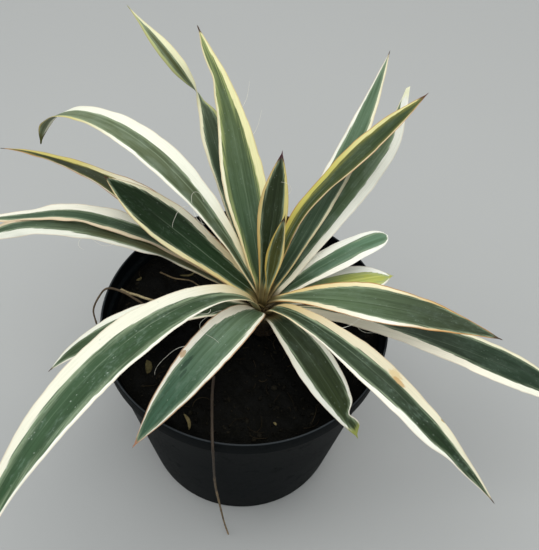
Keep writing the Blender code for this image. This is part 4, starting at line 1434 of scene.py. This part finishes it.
@dataclass
class Crown:
    """The short stem that the leaves spring from, ringed by the scars and scraps of old leaves."""

    x: float = 0.012
    y: float = -0.002
    buried: float = 0.11
    top: float = 0.1755
    foot_radius: float = 0.0085
    top_radius: float = 0.004
    tier_height: float = 0.157
    tier_step: float = 0.0022
    last_side_tier: float = 8.0
    foot_gap: float = 0.0007
    heart_lift: float = 0.0011
    scar_height: float = 0.0031
    scar_depth: float = 0.0006
    roughness: float = 0.00022
    waist: float = 0.42
    top_rounding: float = 0.0025
    segments: int = 72
    rings: int = 90
    scraps: int = 11
    scrap_steps: int = 10
    scrap_sides: int = 8
    scrap_flatness: float = 0.18
    stem_finish: StemFinish = StemFinish()
    scrap_finish: StemFinish = StemFinish("crown_dry_finish", (0.05, 0.03, 0.014), (0.22, 0.16, 0.08))

    @classmethod
    def radius(cls, height: Array | float) -> Array:
        """The crown's radius at a height: level in the soil, then narrowing evenly to its top."""
        share = np.clip((height - cls.tier_height) / (cls.top - cls.tier_height), 0.0, 1.0)
        return cls.foot_radius + (cls.top_radius - cls.foot_radius) * share

    @classmethod
    def foot(cls, leaf: Leaf) -> Array:
        """Where a leaf springs: at the crown's side at its tier, or on its top for the heart.

        Args:
            leaf: The leaf.

        Returns:
            The place.
        """
        angle = math.radians(leaf.heading if leaf.foot is None else leaf.foot)
        height = cls.tier_height + cls.tier_step * leaf.tier
        reach = float(cls.radius(height)) + cls.foot_gap
        if leaf.tier > cls.last_side_tier:
            height, reach = cls.top + cls.heart_lift, cls.top_radius / 2
        return np.array([cls.x + reach * math.sin(angle), cls.y + reach * math.cos(angle), height])

    def build(self) -> None:
        """Builds the stem, and the dry scraps round it."""
        self.build_stem()
        self.build_scraps()

    def build_stem(self) -> None:
        """The stem: its radius swells by a saw wave at each leaf scar, which slants and wanders round it."""
        angle = (np.arange(self.segments) * math.tau / self.segments)[None, :]
        height = np.linspace(self.buried, self.top, self.rings)[:, None]
        slant = height + 0.0011 * np.sin(angle + 1.0) + 0.0006 * np.sin(3 * angle)
        saw = (slant / self.scar_height) % 1.0
        rough = lumps(angle * 6, height * 2500, 1.0, 3)
        slim = 1 - self.waist * ease((height - self.tier_height + 0.002) / 0.006)
        radius = self.radius(height) * 0.94 * slim + self.scar_depth * saw**2 + self.roughness * rough
        radius = radius * np.sqrt(np.clip((self.top - height) / self.top_rounding, 0.05, 1.0))
        x, y = self.x + radius * np.cos(angle), self.y + radius * np.sin(angle)
        rings = np.stack([x, y, np.broadcast_to(height, x.shape)], -1)
        poles = np.array([[self.x, self.y, self.buried], [self.x, self.y, self.top]])
        piece = ringed("crown_stem", rings, poles)
        dress(piece, self.stem_finish.material(), "crown", "crown")

    def build_scraps(self) -> None:
        """Dry scraps of old leaf bases: short flat strips that stand off the stem and curl outwards."""
        rng = np.random.default_rng(41)
        count, steps, sides = self.scraps, self.scrap_steps, self.scrap_sides
        angle = (np.arange(count) * 2.4 + rng.uniform(-0.3, 0.3, count))[:, None]
        height = rng.uniform(0.14, 0.153, count)[:, None]
        length = rng.uniform(0.006, 0.013, count)[:, None]
        lean = rng.uniform(0.35, 0.95, count)[:, None]
        run = np.linspace(0.0, 1.0, steps)[None, :]
        away = self.foot_radius * 0.9 + length * run * lean * (0.4 + 0.6 * run)
        rise = height + length * run * (1 - 0.5 * lean * run)
        routes = np.stack([self.x + away * np.sin(angle), self.y + away * np.cos(angle), rise], -1)
        radii = np.linspace(0.0016, 0.0003, steps)[None, :] * rng.uniform(0.6, 1.2, count)[:, None]
        points, quads, fans = tubes(routes, radii, sides)
        outward = np.hstack([np.sin(angle), np.cos(angle), np.zeros_like(angle)])
        points = squeezed(points, routes, sides, outward, self.scrap_flatness)
        piece = make_piece("crown_scraps", points, quads, fans)
        dress(piece, self.scrap_finish.material(), "crown")


# Pot and soil


@dataclass(frozen=True)
class PotPlastic:
    """Black moulded plastic with fine mould grain, faint scuffs and dust, and a painted highlight along the top of its
    lip.
    """

    base: Color = (0.0026, 0.004, 0.0048)
    dust: Color = (0.05, 0.05, 0.046)
    # A paler grey painted along the top of the lip as a highlight, between the two heights below.
    lip_highlight: Color = (0.06, 0.068, 0.074)
    dust_amount: float = 0.12
    dust_fineness: float = 420.0
    lip_highlight_from: float = 0.1491
    lip_highlight_to: float = 0.1497
    specular: float = 0.09
    ior: float = 1.2

    def material(self, effects: Effects) -> Material:
        """Makes the pot's material.

        Args:
            effects: The shared node groups.

        Returns:
            The material.
        """
        finish = Finish("pot_plastic_finish", self.specular)
        finish.set("IOR", self.ior)
        net, place = finish.net, finish.net.place()
        dusted = net.group(effects.dust, {
            "Place": place, "Base": self.base, "Dust": self.dust, "Amount": self.dust_amount,
            "Fineness": self.dust_fineness})
        x, y, z = net.split(place)
        rings = net.noise(net.join(net.times(x, 0.05), net.times(y, 0.05), z), 420.0)
        grain = net.noise(place, 2600.0, 2.0)
        scuff = net.step(net.noise(place, 60.0, 6.0, 0.7), 0.56, 0.74)
        # Painted highlight along the top of the lip, broken up by the scuffs.
        lip_highlight = net.times(net.step(z, self.lip_highlight_from, self.lip_highlight_to), net.step(scuff, 0.0, 0.4, 0.55, 1.0))
        rough = net.total(0.46, (dusted["Mask"], 0.9), (scuff, 0.14), (grain, 0.08))
        height = net.total(net.times(grain, 0.25), (rings, 0.5))
        return finish.feed(net.blend(lip_highlight, dusted["Color"], self.lip_highlight), rough, net.bump(height, 0.25, 0.0003))


@dataclass
class Pot:
    """The round tapered nursery pot, with its rim band, its rolled lip and the drain holes in its floor."""

    height: float = 0.15
    base_radius: float = 0.073
    neck_radius: float = 0.0925
    rim_radius: float = 0.095
    wall: float = 0.0015
    floor: float = 0.002
    band: float = 0.0125
    lip: float = 0.0008
    chamfer: float = 0.0012
    segments: int = 224
    drain_holes: int = 8
    drain_radius: float = 0.005
    drain_circle: float = 0.052
    drain_cut: Triple = (-0.004, 0.001, 0.006)
    drain_sides: int = 32
    rounding: float = 0.0006
    wall_steps: Pair = (0.04, 0.09)
    heel: float = 0.008
    sharp_from: float = 50.0
    finish: PotPlastic = PotPlastic()

    def wall_radius(self, height: float) -> float:
        """Outer radius of the tapered wall at a height under the rim band."""
        return self.base_radius + (self.neck_radius - self.base_radius) * height / (self.height - self.band)

    def profile(self) -> Array:
        """The pot's profile from the floor's middle, up inside, over the lip, down outside and under.

        The floor has a shallow ring inside, the wall a fine step over its heel, and the underside a groove.

        Returns:
            The rounded profile, one row a point.
        """
        low = self.height - self.band
        inner = self.rim_radius - self.wall
        first, second = self.wall_steps
        line = [
            (0.0, self.floor),
            (0.03, self.floor), (0.0302, self.floor + 0.0004), (0.0312, self.floor + 0.0004), (0.0314, self.floor),
            (self.wall_radius(self.floor) - self.wall, self.floor),
            (self.wall_radius(first) - self.wall, first),
            (self.wall_radius(second) - self.wall, second),
            (self.neck_radius - self.wall, low),
            (inner, low + self.wall),
            (inner, self.height - self.lip),
            (inner + self.wall / 2, self.height),
            (self.rim_radius, self.height - self.lip),
            (self.rim_radius - self.lip / 4, low + self.lip),
            (self.rim_radius - self.lip, low),
            (self.neck_radius, low - self.lip / 2),
            (self.wall_radius(second), second),
            (self.wall_radius(first), first),
            (self.wall_radius(self.heel), self.heel), (self.wall_radius(0.0075) - 0.0003, 0.0075),
            (self.base_radius, self.chamfer),
            (self.base_radius - self.chamfer, 0.0),
            (0.068, 0.0), (0.0677, 0.0005), (0.066, 0.0005), (0.0657, 0.0),
            (0.0, 0.0),
        ]
        return rounded(line, self.rounding)

    def build(self, effects: Effects) -> None:
        """Turns the pot, and cuts the drain holes.

        Args:
            effects: The shared node groups.
        """
        profile = self.profile()
        angle = np.arange(self.segments) * math.tau / self.segments
        x, y = profile[1:-1, :1] * np.cos(angle), profile[1:-1, :1] * np.sin(angle)
        rings = np.stack([x, y, np.broadcast_to(profile[1:-1, 1:], x.shape)], -1)
        poles = np.array([[0.0, 0.0, profile[0, 1]], [0.0, 0.0, profile[-1, 1]]])
        piece = ringed("pot_shell", rings, poles, inward=True)
        cutter = self.drain_cutter()
        boolean = piece.modifiers.new("Drain holes", "BOOLEAN")
        boolean.operation = "DIFFERENCE"
        boolean.solver = "EXACT"
        boolean.object = cutter
        depsgraph = bpy.context.evaluated_depsgraph_get()
        depsgraph.update()
        mesh = bpy.data.meshes.new_from_object(piece.evaluated_get(depsgraph))
        piece.modifiers.clear()
        piece.data = mesh
        bpy.data.objects.remove(cutter, do_unlink=True)
        mesh.set_sharp_from_angle(angle=math.radians(self.sharp_from))
        dress(piece, self.finish.material(effects), "pot_plastic", "pot")

    def drain_cutter(self) -> Piece:
        """Upright rods, one for each drain hole.

        Returns:
            The object.
        """
        holes, steps = self.drain_holes, len(self.drain_cut)
        angle = np.arange(holes) * math.tau / holes
        spots = self.drain_circle * np.stack([np.cos(angle), np.sin(angle)], -1)
        heights = np.array(self.drain_cut)
        routes = np.concatenate([
            np.broadcast_to(spots[:, None], (holes, steps, 2)),
            np.broadcast_to(heights[None, :, None], (holes, steps, 1)),
        ], -1)
        return make_piece("drain_rods", *tubes(routes, np.full((holes, steps), self.drain_radius), self.drain_sides))


@dataclass(frozen=True)
class SoilFinish:
    """Damp peat, or bits that lie on it and each have a tone of their own."""

    name: str
    dark: Color
    pale: Color
    toned: bool = True
    specular: float = 0.08

    def material(self) -> Material:
        """Makes the soil's material.

        Returns:
            The material.
        """
        finish = Finish(self.name, self.specular)
        net, place = finish.net, finish.net.place()
        grain, cloud = net.noise(place, 900.0, 5.0, 0.65), net.noise(place, 130.0, 4.0)
        share = net.times(net.step(grain, 0.4, 0.74), net.step(cloud, 0.3, 0.66))
        if self.toned:
            share = net.math("ADD", net.times(share, 0.5), net.attribute("tone").outputs["Fac"], True)
        rough = net.step(cloud, 0.35, 0.7, 0.62, 0.95)
        return finish.feed(net.blend(share, self.dark, self.pale), rough, net.bump(grain, 0.9, 0.0007))


@dataclass
class Soil:
    """The dark peat in the pot: one lumpy body, with crumbs, root hairs and scraps of old leaf on it."""

    pot: Pot
    height: float = 0.1375
    edge_drop: float = 0.0036
    gap: float = 0.0003
    rings: int = 84
    segments: int = 220
    crowding: float = 0.8
    edge_starts: float = 0.9
    swells: tuple[tuple[float, float, float, float], ...] = (
        (0.0009, 170, 60, 0.6), (0.0005, -140, 310, 1.9), (0.0005, 520, 430, 4.0))
    lump_sizes: tuple[tuple[float, float, int], ...] = ((0.0011, 0.011, 21), (0.0008, 0.0047, 22))
    grain_sizes: tuple[tuple[float, float, int], ...] = ((0.00055, 0.0023, 23), (0.0003, 0.0011, 24))
    crumbs: int = 1500
    crumb_least: float = 0.0004
    crumb_more: float = 0.0016
    hairs: int = 130
    hair_steps: int = 9
    hair_sides: int = 5
    scrap_steps: int = 9
    scrap_sides: int = 12
    scrap_bend: float = 1.2
    scrap_flatness: float = 0.22
    scraps: tuple[tuple[float, float, float, float, float, float, float], ...] = (
        (-0.06, -0.0435, 60, 0.0085, 0.0046, 0.0015, 0.25), (-0.0285, -0.081, 78, 0.01, 0.0022, 0.003, 0.95),
        (-0.079, 0.03, 20, 0.0055, 0.0022, 0.001, 0.35), (0.0245, -0.0745, 100, 0.0026, 0.0016, 0.0004, 0.85),
        (-0.05, 0.037, -20, 0.013, 0.0017, 0.0015, 0.55), (0.052, -0.049, 60, 0.006, 0.002, 0.001, 0.2))
    body_finish: SoilFinish = SoilFinish("soil_finish", (0.0014, 0.0015, 0.0011), (0.0056, 0.0051, 0.0034), False)
    crumb_finish: SoilFinish = SoilFinish("soil_crumbs_finish", (0.0018, 0.0017, 0.0012), (0.0125, 0.0106, 0.0064))
    hair_finish: SoilFinish = SoilFinish("soil_hairs_finish", (0.004, 0.003, 0.0018), (0.034, 0.025, 0.013))
    scrap_finish: SoilFinish = SoilFinish("soil_scraps_finish", (0.03, 0.028, 0.01), (0.16, 0.13, 0.06))

    def edge_radius(self) -> float:
        """Radius of the soil where it meets the wall."""
        return self.pot.wall_radius(self.height - self.edge_drop) - self.pot.wall - self.gap

    def relief(self, x: Array, y: Array) -> Array:
        """Height of the soil over the floor: crossed swells, three sizes of lumps, and a fall to the wall.

        Args:
            x: Places along X.
            y: Places along Y.

        Returns:
            Heights.
        """
        swell = sum(size * np.sin(kx * x + ky * y + phase) for size, kx, ky, phase in self.swells)
        coarse = sum(size * lumps(x, y, cell, seed) for size, cell, seed in self.lump_sizes)
        (large, large_cell, large_seed), (small, small_cell, small_seed) = self.grain_sizes
        fine = large * np.abs(lumps(x, y, large_cell, large_seed)) + small * lumps(x, y, small_cell, small_seed)
        near_wall = (np.hypot(x, y) / self.edge_radius() - self.edge_starts) / (1 - self.edge_starts)
        fall = self.edge_drop * ease(near_wall)
        return self.height + swell + (coarse + fine) * (1 - 0.5 * fall / self.edge_drop) - fall

    def build(self) -> None:
        """Builds the body of the soil and what lies on it."""
        self.build_body()
        self.build_crumbs()
        self.build_hairs()
        self.build_scraps()

    def build_body(self) -> None:
        """The body: rings of a disc lifted by the relief, then down the wall and across the bottom."""
        angle = (np.arange(self.segments) * math.tau / self.segments)[None, :]
        radius = (self.edge_radius() * np.linspace(0.0, 1.0, self.rings + 1)[1:] ** self.crowding)[:, None]
        x, y = radius * np.cos(angle), radius * np.sin(angle)
        low = self.pot.floor + self.gap
        low_radius = self.pot.wall_radius(low) - self.pot.wall - self.gap
        under = np.stack([low_radius * np.cos(angle), low_radius * np.sin(angle), np.full_like(angle, low)], -1)
        rings = np.concatenate([np.stack([x, y, self.relief(x, y)], -1), under])
        poles = np.array([[0.0, 0.0, float(self.relief(np.zeros(1), np.zeros(1))[0])], [0.0, 0.0, low]])
        piece = ringed("soil_body", rings, poles, inward=True)
        dress(piece, self.body_finish.material(), "soil", "soil")

    def scatter(self, rng: np.random.Generator, count: int, lift: float) -> Array:
        """Places spread evenly over the soil, clear of the wall.

        Args:
            rng: The seeded source of numbers.
            count: How many places.
            lift: Height over the soil.

        Returns:
            Places, one row each.
        """
        away = (self.edge_radius() - 0.004) * np.sqrt(rng.uniform(0.0, 1.0, count))
        angle = rng.uniform(0.0, math.tau, count)
        x, y = away * np.cos(angle), away * np.sin(angle)
        return np.stack([x, y, self.relief(x, y) + lift], -1)

    def build_crumbs(self) -> None:
        """Crumbs of peat and bark: twenty-sided lumps, each stretched and turned its own way.

        The twelve corners of such a lump lie on three crossed oblongs whose sides have the golden ratio.
        """
        rng = np.random.default_rng(7)
        ratio = (1 + 5**0.5) / 2
        base = np.array([
            (-1, ratio, 0), (1, ratio, 0), (-1, -ratio, 0), (1, -ratio, 0),
            (0, -1, ratio), (0, 1, ratio), (0, -1, -ratio), (0, 1, -ratio),
            (ratio, 0, -1), (ratio, 0, 1), (-ratio, 0, -1), (-ratio, 0, 1)])
        base = base / np.linalg.norm(base[0])
        corners = len(base)
        sides = np.array([(0, 11, 5), (0, 5, 1), (0, 1, 7), (0, 7, 10), (0, 10, 11), (1, 5, 9), (5, 11, 4),
                          (11, 10, 2), (10, 7, 6), (7, 1, 8), (3, 9, 4), (3, 4, 2), (3, 2, 6), (3, 6, 8),
                          (3, 8, 9), (4, 9, 5), (2, 4, 11), (6, 2, 10), (8, 6, 7), (9, 8, 1)])
        places = self.scatter(rng, self.crumbs, 0.0001)
        size = self.crumb_least + self.crumb_more * rng.uniform(0.0, 1.0, (self.crumbs, 1, 1)) ** 3
        stretch = rng.uniform(0.55, 1.35, (self.crumbs, 1, 3)) * np.array([1.0, 1.0, 0.7])
        lumpy = base[None] * stretch * rng.uniform(0.8, 1.15, (self.crumbs, corners, 1)) * size
        spin = rng.uniform(0.0, math.tau, self.crumbs)[:, None]
        x = lumpy[..., 0] * np.cos(spin) - lumpy[..., 1] * np.sin(spin)
        y = lumpy[..., 0] * np.sin(spin) + lumpy[..., 1] * np.cos(spin)
        points = np.stack([x, y, lumpy[..., 2]], -1) + places[:, None]
        triangles = (sides[None] + corners * np.arange(self.crumbs)[:, None, None]).reshape(-1, 3)
        tone = np.repeat(rng.uniform(0.0, 1.0, self.crumbs) ** 2, corners)
        piece = make_piece("soil_crumbs", points.reshape(-1, 3), np.zeros((0, 4), int), triangles, {"tone": tone})
        dress(piece, self.crumb_finish.material(), "soil")

    def build_hairs(self) -> None:
        """Root hairs and peat fibres: thin tubes that wander over the soil in shallow humps."""
        rng = np.random.default_rng(12)
        steps, sides = self.hair_steps, self.hair_sides
        starts = self.scatter(rng, self.hairs, 0.0)
        heading = rng.uniform(0.0, math.tau, self.hairs)[:, None]
        bend = rng.uniform(-2.2, 2.2, self.hairs)[:, None]
        length = rng.uniform(0.003, 0.016, self.hairs)[:, None]
        run = np.linspace(0.0, 1.0, steps)[None, :]
        way = heading + bend * run
        x = starts[:, :1] + np.cumsum(np.cos(way), 1) * length / steps
        y = starts[:, 1:2] + np.cumsum(np.sin(way), 1) * length / steps
        widest = self.edge_radius() - 0.002
        limit = widest / np.maximum(np.hypot(x, y), widest)
        x, y = x * limit, y * limit
        z = self.relief(x, y) + 0.0002 + 0.0018 * rng.uniform(0.0, 1.0, (self.hairs, 1)) * np.sin(math.pi * run)
        thick = rng.uniform(0.00009, 0.0003, (self.hairs, 1)) * np.linspace(1.0, 0.6, steps)[None, :]
        points, quads, fans = tubes(np.stack([x, y, z], -1), thick, sides)
        tone = np.repeat(rng.uniform(0.1, 1.0, self.hairs), steps * sides + 2)
        piece = make_piece("soil_hairs", points, quads, fans, {"tone": tone})
        dress(piece, self.hair_finish.material(), "soil")

    def build_scraps(self) -> None:
        """Scraps of old leaf on the soil: flat strips that bend to one side and curl up at their far end.

        Each scrap's row holds its place, heading in degrees, length, width and curl in metres, and tone.
        """
        steps, sides = self.scrap_steps, self.scrap_sides
        x, y, heading, length, width, curl, tone = (np.array(column)[:, None] for column in zip(*self.scraps))
        run = np.linspace(0.0, 1.0, steps)[None, :]
        way = np.radians(heading) + self.scrap_bend * run
        x = x + np.cumsum(np.cos(way), 1) * length / steps
        y = y + np.cumsum(np.sin(way), 1) * length / steps
        routes = np.stack([x, y, self.relief(x, y) + 0.0005 + curl * run**2], -1)
        points, quads, fans = tubes(routes, width / 2 * np.sqrt(np.maximum(4 * run * (1 - run), 0.05)), sides)
        upward = np.tile([0.0, 0.0, 1.0], (len(self.scraps), 1))
        points = squeezed(points, routes, sides, upward, self.scrap_flatness)
        marks = {"tone": np.repeat(tone[:, 0], steps * sides + 2)}
        piece = make_piece("soil_scraps", points, quads, fans, marks)
        dress(piece, self.scrap_finish.material(), "soil")


@dataclass(frozen=True)
class StrandFinish:
    """Dry fibrous skin with darker and paler stretches along it, darker up to a place along it if shaded."""

    dark: Color
    pale: Color
    shaded_mm: float = 0.0
    shading: float = 0.42
    specular: float = 0.35

    def material(self, name: str) -> Material:
        """Makes the strand's material.

        Args:
            name: The material's name.

        Returns:
            The material.
        """
        finish = Finish(name, self.specular)
        net = finish.net
        run = net.attribute("run").outputs["Fac"]
        stretch = net.noise(net.join(net.times(run, 0.09), 0.0, 0.0), 1.0)
        fibre = net.noise(net.place(), 1400.0, 4.0, 0.6)
        share = net.total(net.times(stretch, 1.2), (fibre, 0.7))
        shade = net.step(run, self.shaded_mm, self.shaded_mm * 0.6 - 1.0, 0.0, self.shading)
        color = net.blend(net.step(net.minus(share, shade), 0.62, 1.25), self.dark, self.pale)
        return finish.feed(color, net.step(fibre, 0.3, 0.7, 0.55, 0.8), net.bump(fibre, 0.7, 0.0003))


@dataclass(frozen=True)
class Strand:
    """A dry stalk or root: its route and radius in metres, its finish, and the CAD node that it stands for."""

    name: str
    route: tuple[Triple, ...]
    radius: float
    finish: StrandFinish
    slot: str
    node: str = ""
    knots: float = 0.0
    wander: float = 0.0


@dataclass
class Litter:
    """The dry bits on the pot: the straw over the rim, the wiry root, and a few sticks on the soil."""

    sides: int = 12
    steps: int = 26
    thins: float = 0.35
    wander_cell: float = 0.006
    knot_spacing: float = 0.038
    knot_share: float = 0.035
    end_share: float = 0.004
    strands: tuple[Strand, ...] = (
        Strand("straw_stalk", (
            (-0.0165, -0.045, 0.143), (-0.016, -0.06, 0.1452), (-0.014, -0.08, 0.1505),
            (-0.0124, -0.0935, 0.1513), (-0.0116, -0.0985, 0.144), (-0.0112, -0.0975, 0.1),
            (-0.0098, -0.09, 0.05), (-0.0068, -0.089, 0.012), (-0.003, -0.095, 0.0022)),
            0.001, StrandFinish((0.04, 0.028, 0.018), (0.26, 0.18, 0.085), 125.0), "dry_straw", "dry_straw",
            knots=0.00028),
        Strand("wiry_stalk", (
            (-0.066, 0.004, 0.1435), (-0.082, 0.01, 0.1502), (-0.0935, 0.012, 0.1512),
            (-0.099, 0.008, 0.147), (-0.102, 0.0000, 0.142), (-0.099, -0.008, 0.137)),
            0.0009, StrandFinish((0.026, 0.017, 0.009), (0.115, 0.08, 0.042)), "wiry_root", "wiry_root",
            knots=0.0002, wander=0.0002),
        Strand("soil_stick", (
            (-0.087, 0.018, 0.1425), (-0.076, 0.015, 0.1415), (-0.064, 0.0115, 0.142),
            (-0.05, 0.01, 0.141)),
            0.0011, StrandFinish((0.16, 0.11, 0.05), (0.5, 0.42, 0.24)), "soil", wander=0.0003),
        Strand("soil_root_near", (
            (-0.056, -0.012, 0.14), (-0.043, -0.006, 0.1432), (-0.033, 0.001, 0.144),
            (-0.02, 0.002, 0.1405)),
            0.0007, StrandFinish((0.07, 0.045, 0.02), (0.28, 0.21, 0.11)), "soil", wander=0.0004),
        Strand("soil_root_far", (
            (-0.063, 0.038, 0.14), (-0.051, 0.031, 0.143), (-0.038, 0.029, 0.1425),
            (-0.027, 0.021, 0.14)),
            0.0006, StrandFinish((0.07, 0.045, 0.02), (0.26, 0.19, 0.1)), "soil", wander=0.0004),
    )

    def build(self) -> None:
        """Builds every strand."""
        for number, strand in enumerate(self.strands):
            self.build_strand(strand, number)

    def build_strand(self, strand: Strand, seed: int) -> None:
        """One strand: a tube on a smooth route that wanders a little, swells at its knots and thins to its ends.

        Args:
            strand: The strand.
            seed: Sets its wander.
        """
        route = smooth_route(strand.route, self.steps)
        run = np.linspace(0.0, 1.0, len(route))
        way = np.concatenate([[0.0], np.cumsum(np.linalg.norm(np.diff(route, axis=0), axis=1))])
        for axis in range(3):
            route[:, axis] += strand.wander * lumps(way, 10.0 * axis + seed, self.wander_cell, 31)
        knots = strand.knots * np.exp(-(((way / self.knot_spacing) % 1.0 - 0.5) / self.knot_share) ** 2)
        radius = strand.radius * (1 - self.thins * run) * (0.94 + 0.08 * lumps(way, seed, 0.004, 33)) + knots * 0.6
        ends = np.sqrt(np.clip(np.minimum(run, 1 - run) / self.end_share, 0.15, 1.0))
        radius = np.minimum(radius, strand.radius) * ends
        points, quads, fans = tubes(route[None], radius[None], self.sides)
        run_marks = np.concatenate([np.repeat(way, self.sides), way[:1], way[-1:]]) * MM
        piece = make_piece(strand.name, points, quads, fans, {"run": run_marks})
        nodes = [strand.node] if strand.node else []
        dress(piece, strand.finish.material(strand.name + "_finish"), strand.slot, *nodes)


# Studio


@dataclass(frozen=True)
class Panel:
    """A soft round light: its place, width in metres, power in watts and colour."""

    name: str
    place: Triple
    size: float
    power: float
    color: Color


@dataclass
class Studio:
    """The plain pale floor, the soft light and the camera."""

    eye: Triple = (0.0142, -0.2856, 0.546)
    tilt: float = 38.9
    roll: float = 3.9
    lens: float = 48.17
    sensor: float = 36.0
    near: float = 0.01
    floor_reach: float = 4.0
    floor_drop: float = 0.0002
    floor_color: Color = (0.41, 0.423, 0.42)
    floor_mottle: float = 1.04
    floor_specular: float = 0.3
    floor_roughness: float = 0.8
    sky_color: Color = (0.96, 0.98, 1.0)
    sky_strength: float = 0.54
    aim: Triple = (0.0, 0.0, 0.15)
    panels: tuple[Panel, ...] = (
        Panel("back_panel", (0.75, 0.7, 1.6), 1.2, 7.5, (1.0, 0.97, 0.92)),
        Panel("top_panel", (0.05, -0.4, 1.95), 1.7, 16.0, (1.0, 1.0, 0.98)),
        Panel("left_panel", (-0.95, 0.05, 1.25), 1.2, 5.0, (1.0, 0.99, 0.96)),
    )

    def build(self) -> None:
        """Sets the camera, the floor and the lights."""
        self.build_camera()
        self.build_floor()
        self.build_sky()
        for panel in self.panels:
            self.build_panel(panel)

    def build_camera(self) -> None:
        """The camera: raised in front of the pot, looking down at it, with a slight roll."""
        data = bpy.data.cameras.new("camera")
        data.sensor_width = self.sensor
        data.lens = self.lens
        data.clip_start = self.near
        camera = bpy.data.objects.new("camera", data)
        turn = Matrix.Rotation(math.radians(self.tilt), 4, "X") @ Matrix.Rotation(math.radians(self.roll), 4, "Z")
        camera.matrix_world = Matrix.Translation(self.eye) @ turn
        bpy.context.scene.collection.objects.link(camera)
        bpy.context.scene.camera = camera

    def build_floor(self) -> None:
        """The floor: one wide level sheet just under the pot."""
        corner = np.array([(-1, -1), (1, -1), (1, 1), (-1, 1)]) * self.floor_reach
        points = np.hstack([corner, np.full((4, 1), -self.floor_drop)])
        floor = make_piece("studio_floor", points, np.array([[0, 1, 2, 3]]))
        finish = Finish("studio_floor_finish", self.floor_specular)
        tone = finish.net.noise(finish.net.place(), 3.0)
        pale = tuple(self.floor_mottle * part for part in self.floor_color)
        finish.set("Base Color", finish.net.blend(tone, self.floor_color, pale))
        finish.set("Roughness", self.floor_roughness)
        floor.data.materials.append(finish.material)

    def build_sky(self) -> None:
        """An even overcast sky, shown without a film look."""
        world = bpy.data.worlds.new("sky")
        world.use_nodes = True
        background = world.node_tree.nodes["Background"]
        background.inputs["Color"].default_value = (*self.sky_color, 1.0)
        background.inputs["Strength"].default_value = self.sky_strength
        bpy.context.scene.world = world
        view = bpy.context.scene.view_settings
        view.view_transform = "Standard"
        view.look = "None"

    def build_panel(self, panel: Panel) -> None:
        """A wide soft light that faces the plant.

        Args:
            panel: The light.
        """
        data = bpy.data.lights.new(panel.name, "AREA")
        data.shape = "DISK"
        data.size = panel.size
        data.energy = panel.power
        data.color = panel.color
        light = bpy.data.objects.new(panel.name, data)
        turn = (Vector(panel.place) - Vector(self.aim)).to_track_quat("Z", "Y")
        light.matrix_world = Matrix.Translation(panel.place) @ turn.to_matrix().to_4x4()
        bpy.context.scene.collection.objects.link(light)


def main() -> None:
    """Builds the studio and every sub-assembly."""
    logging.basicConfig(level=logging.INFO, format="%(name)s: %(message)s")
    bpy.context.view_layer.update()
    Studio().build()
    effects = Effects()
    pot = Pot()
    pot.build(effects)
    Soil(pot).build()
    Crown().build()
    Rosette().build(effects)
    Litter().build()
    log.info("the yucca is built")


if __name__ == "__main__":
    main()
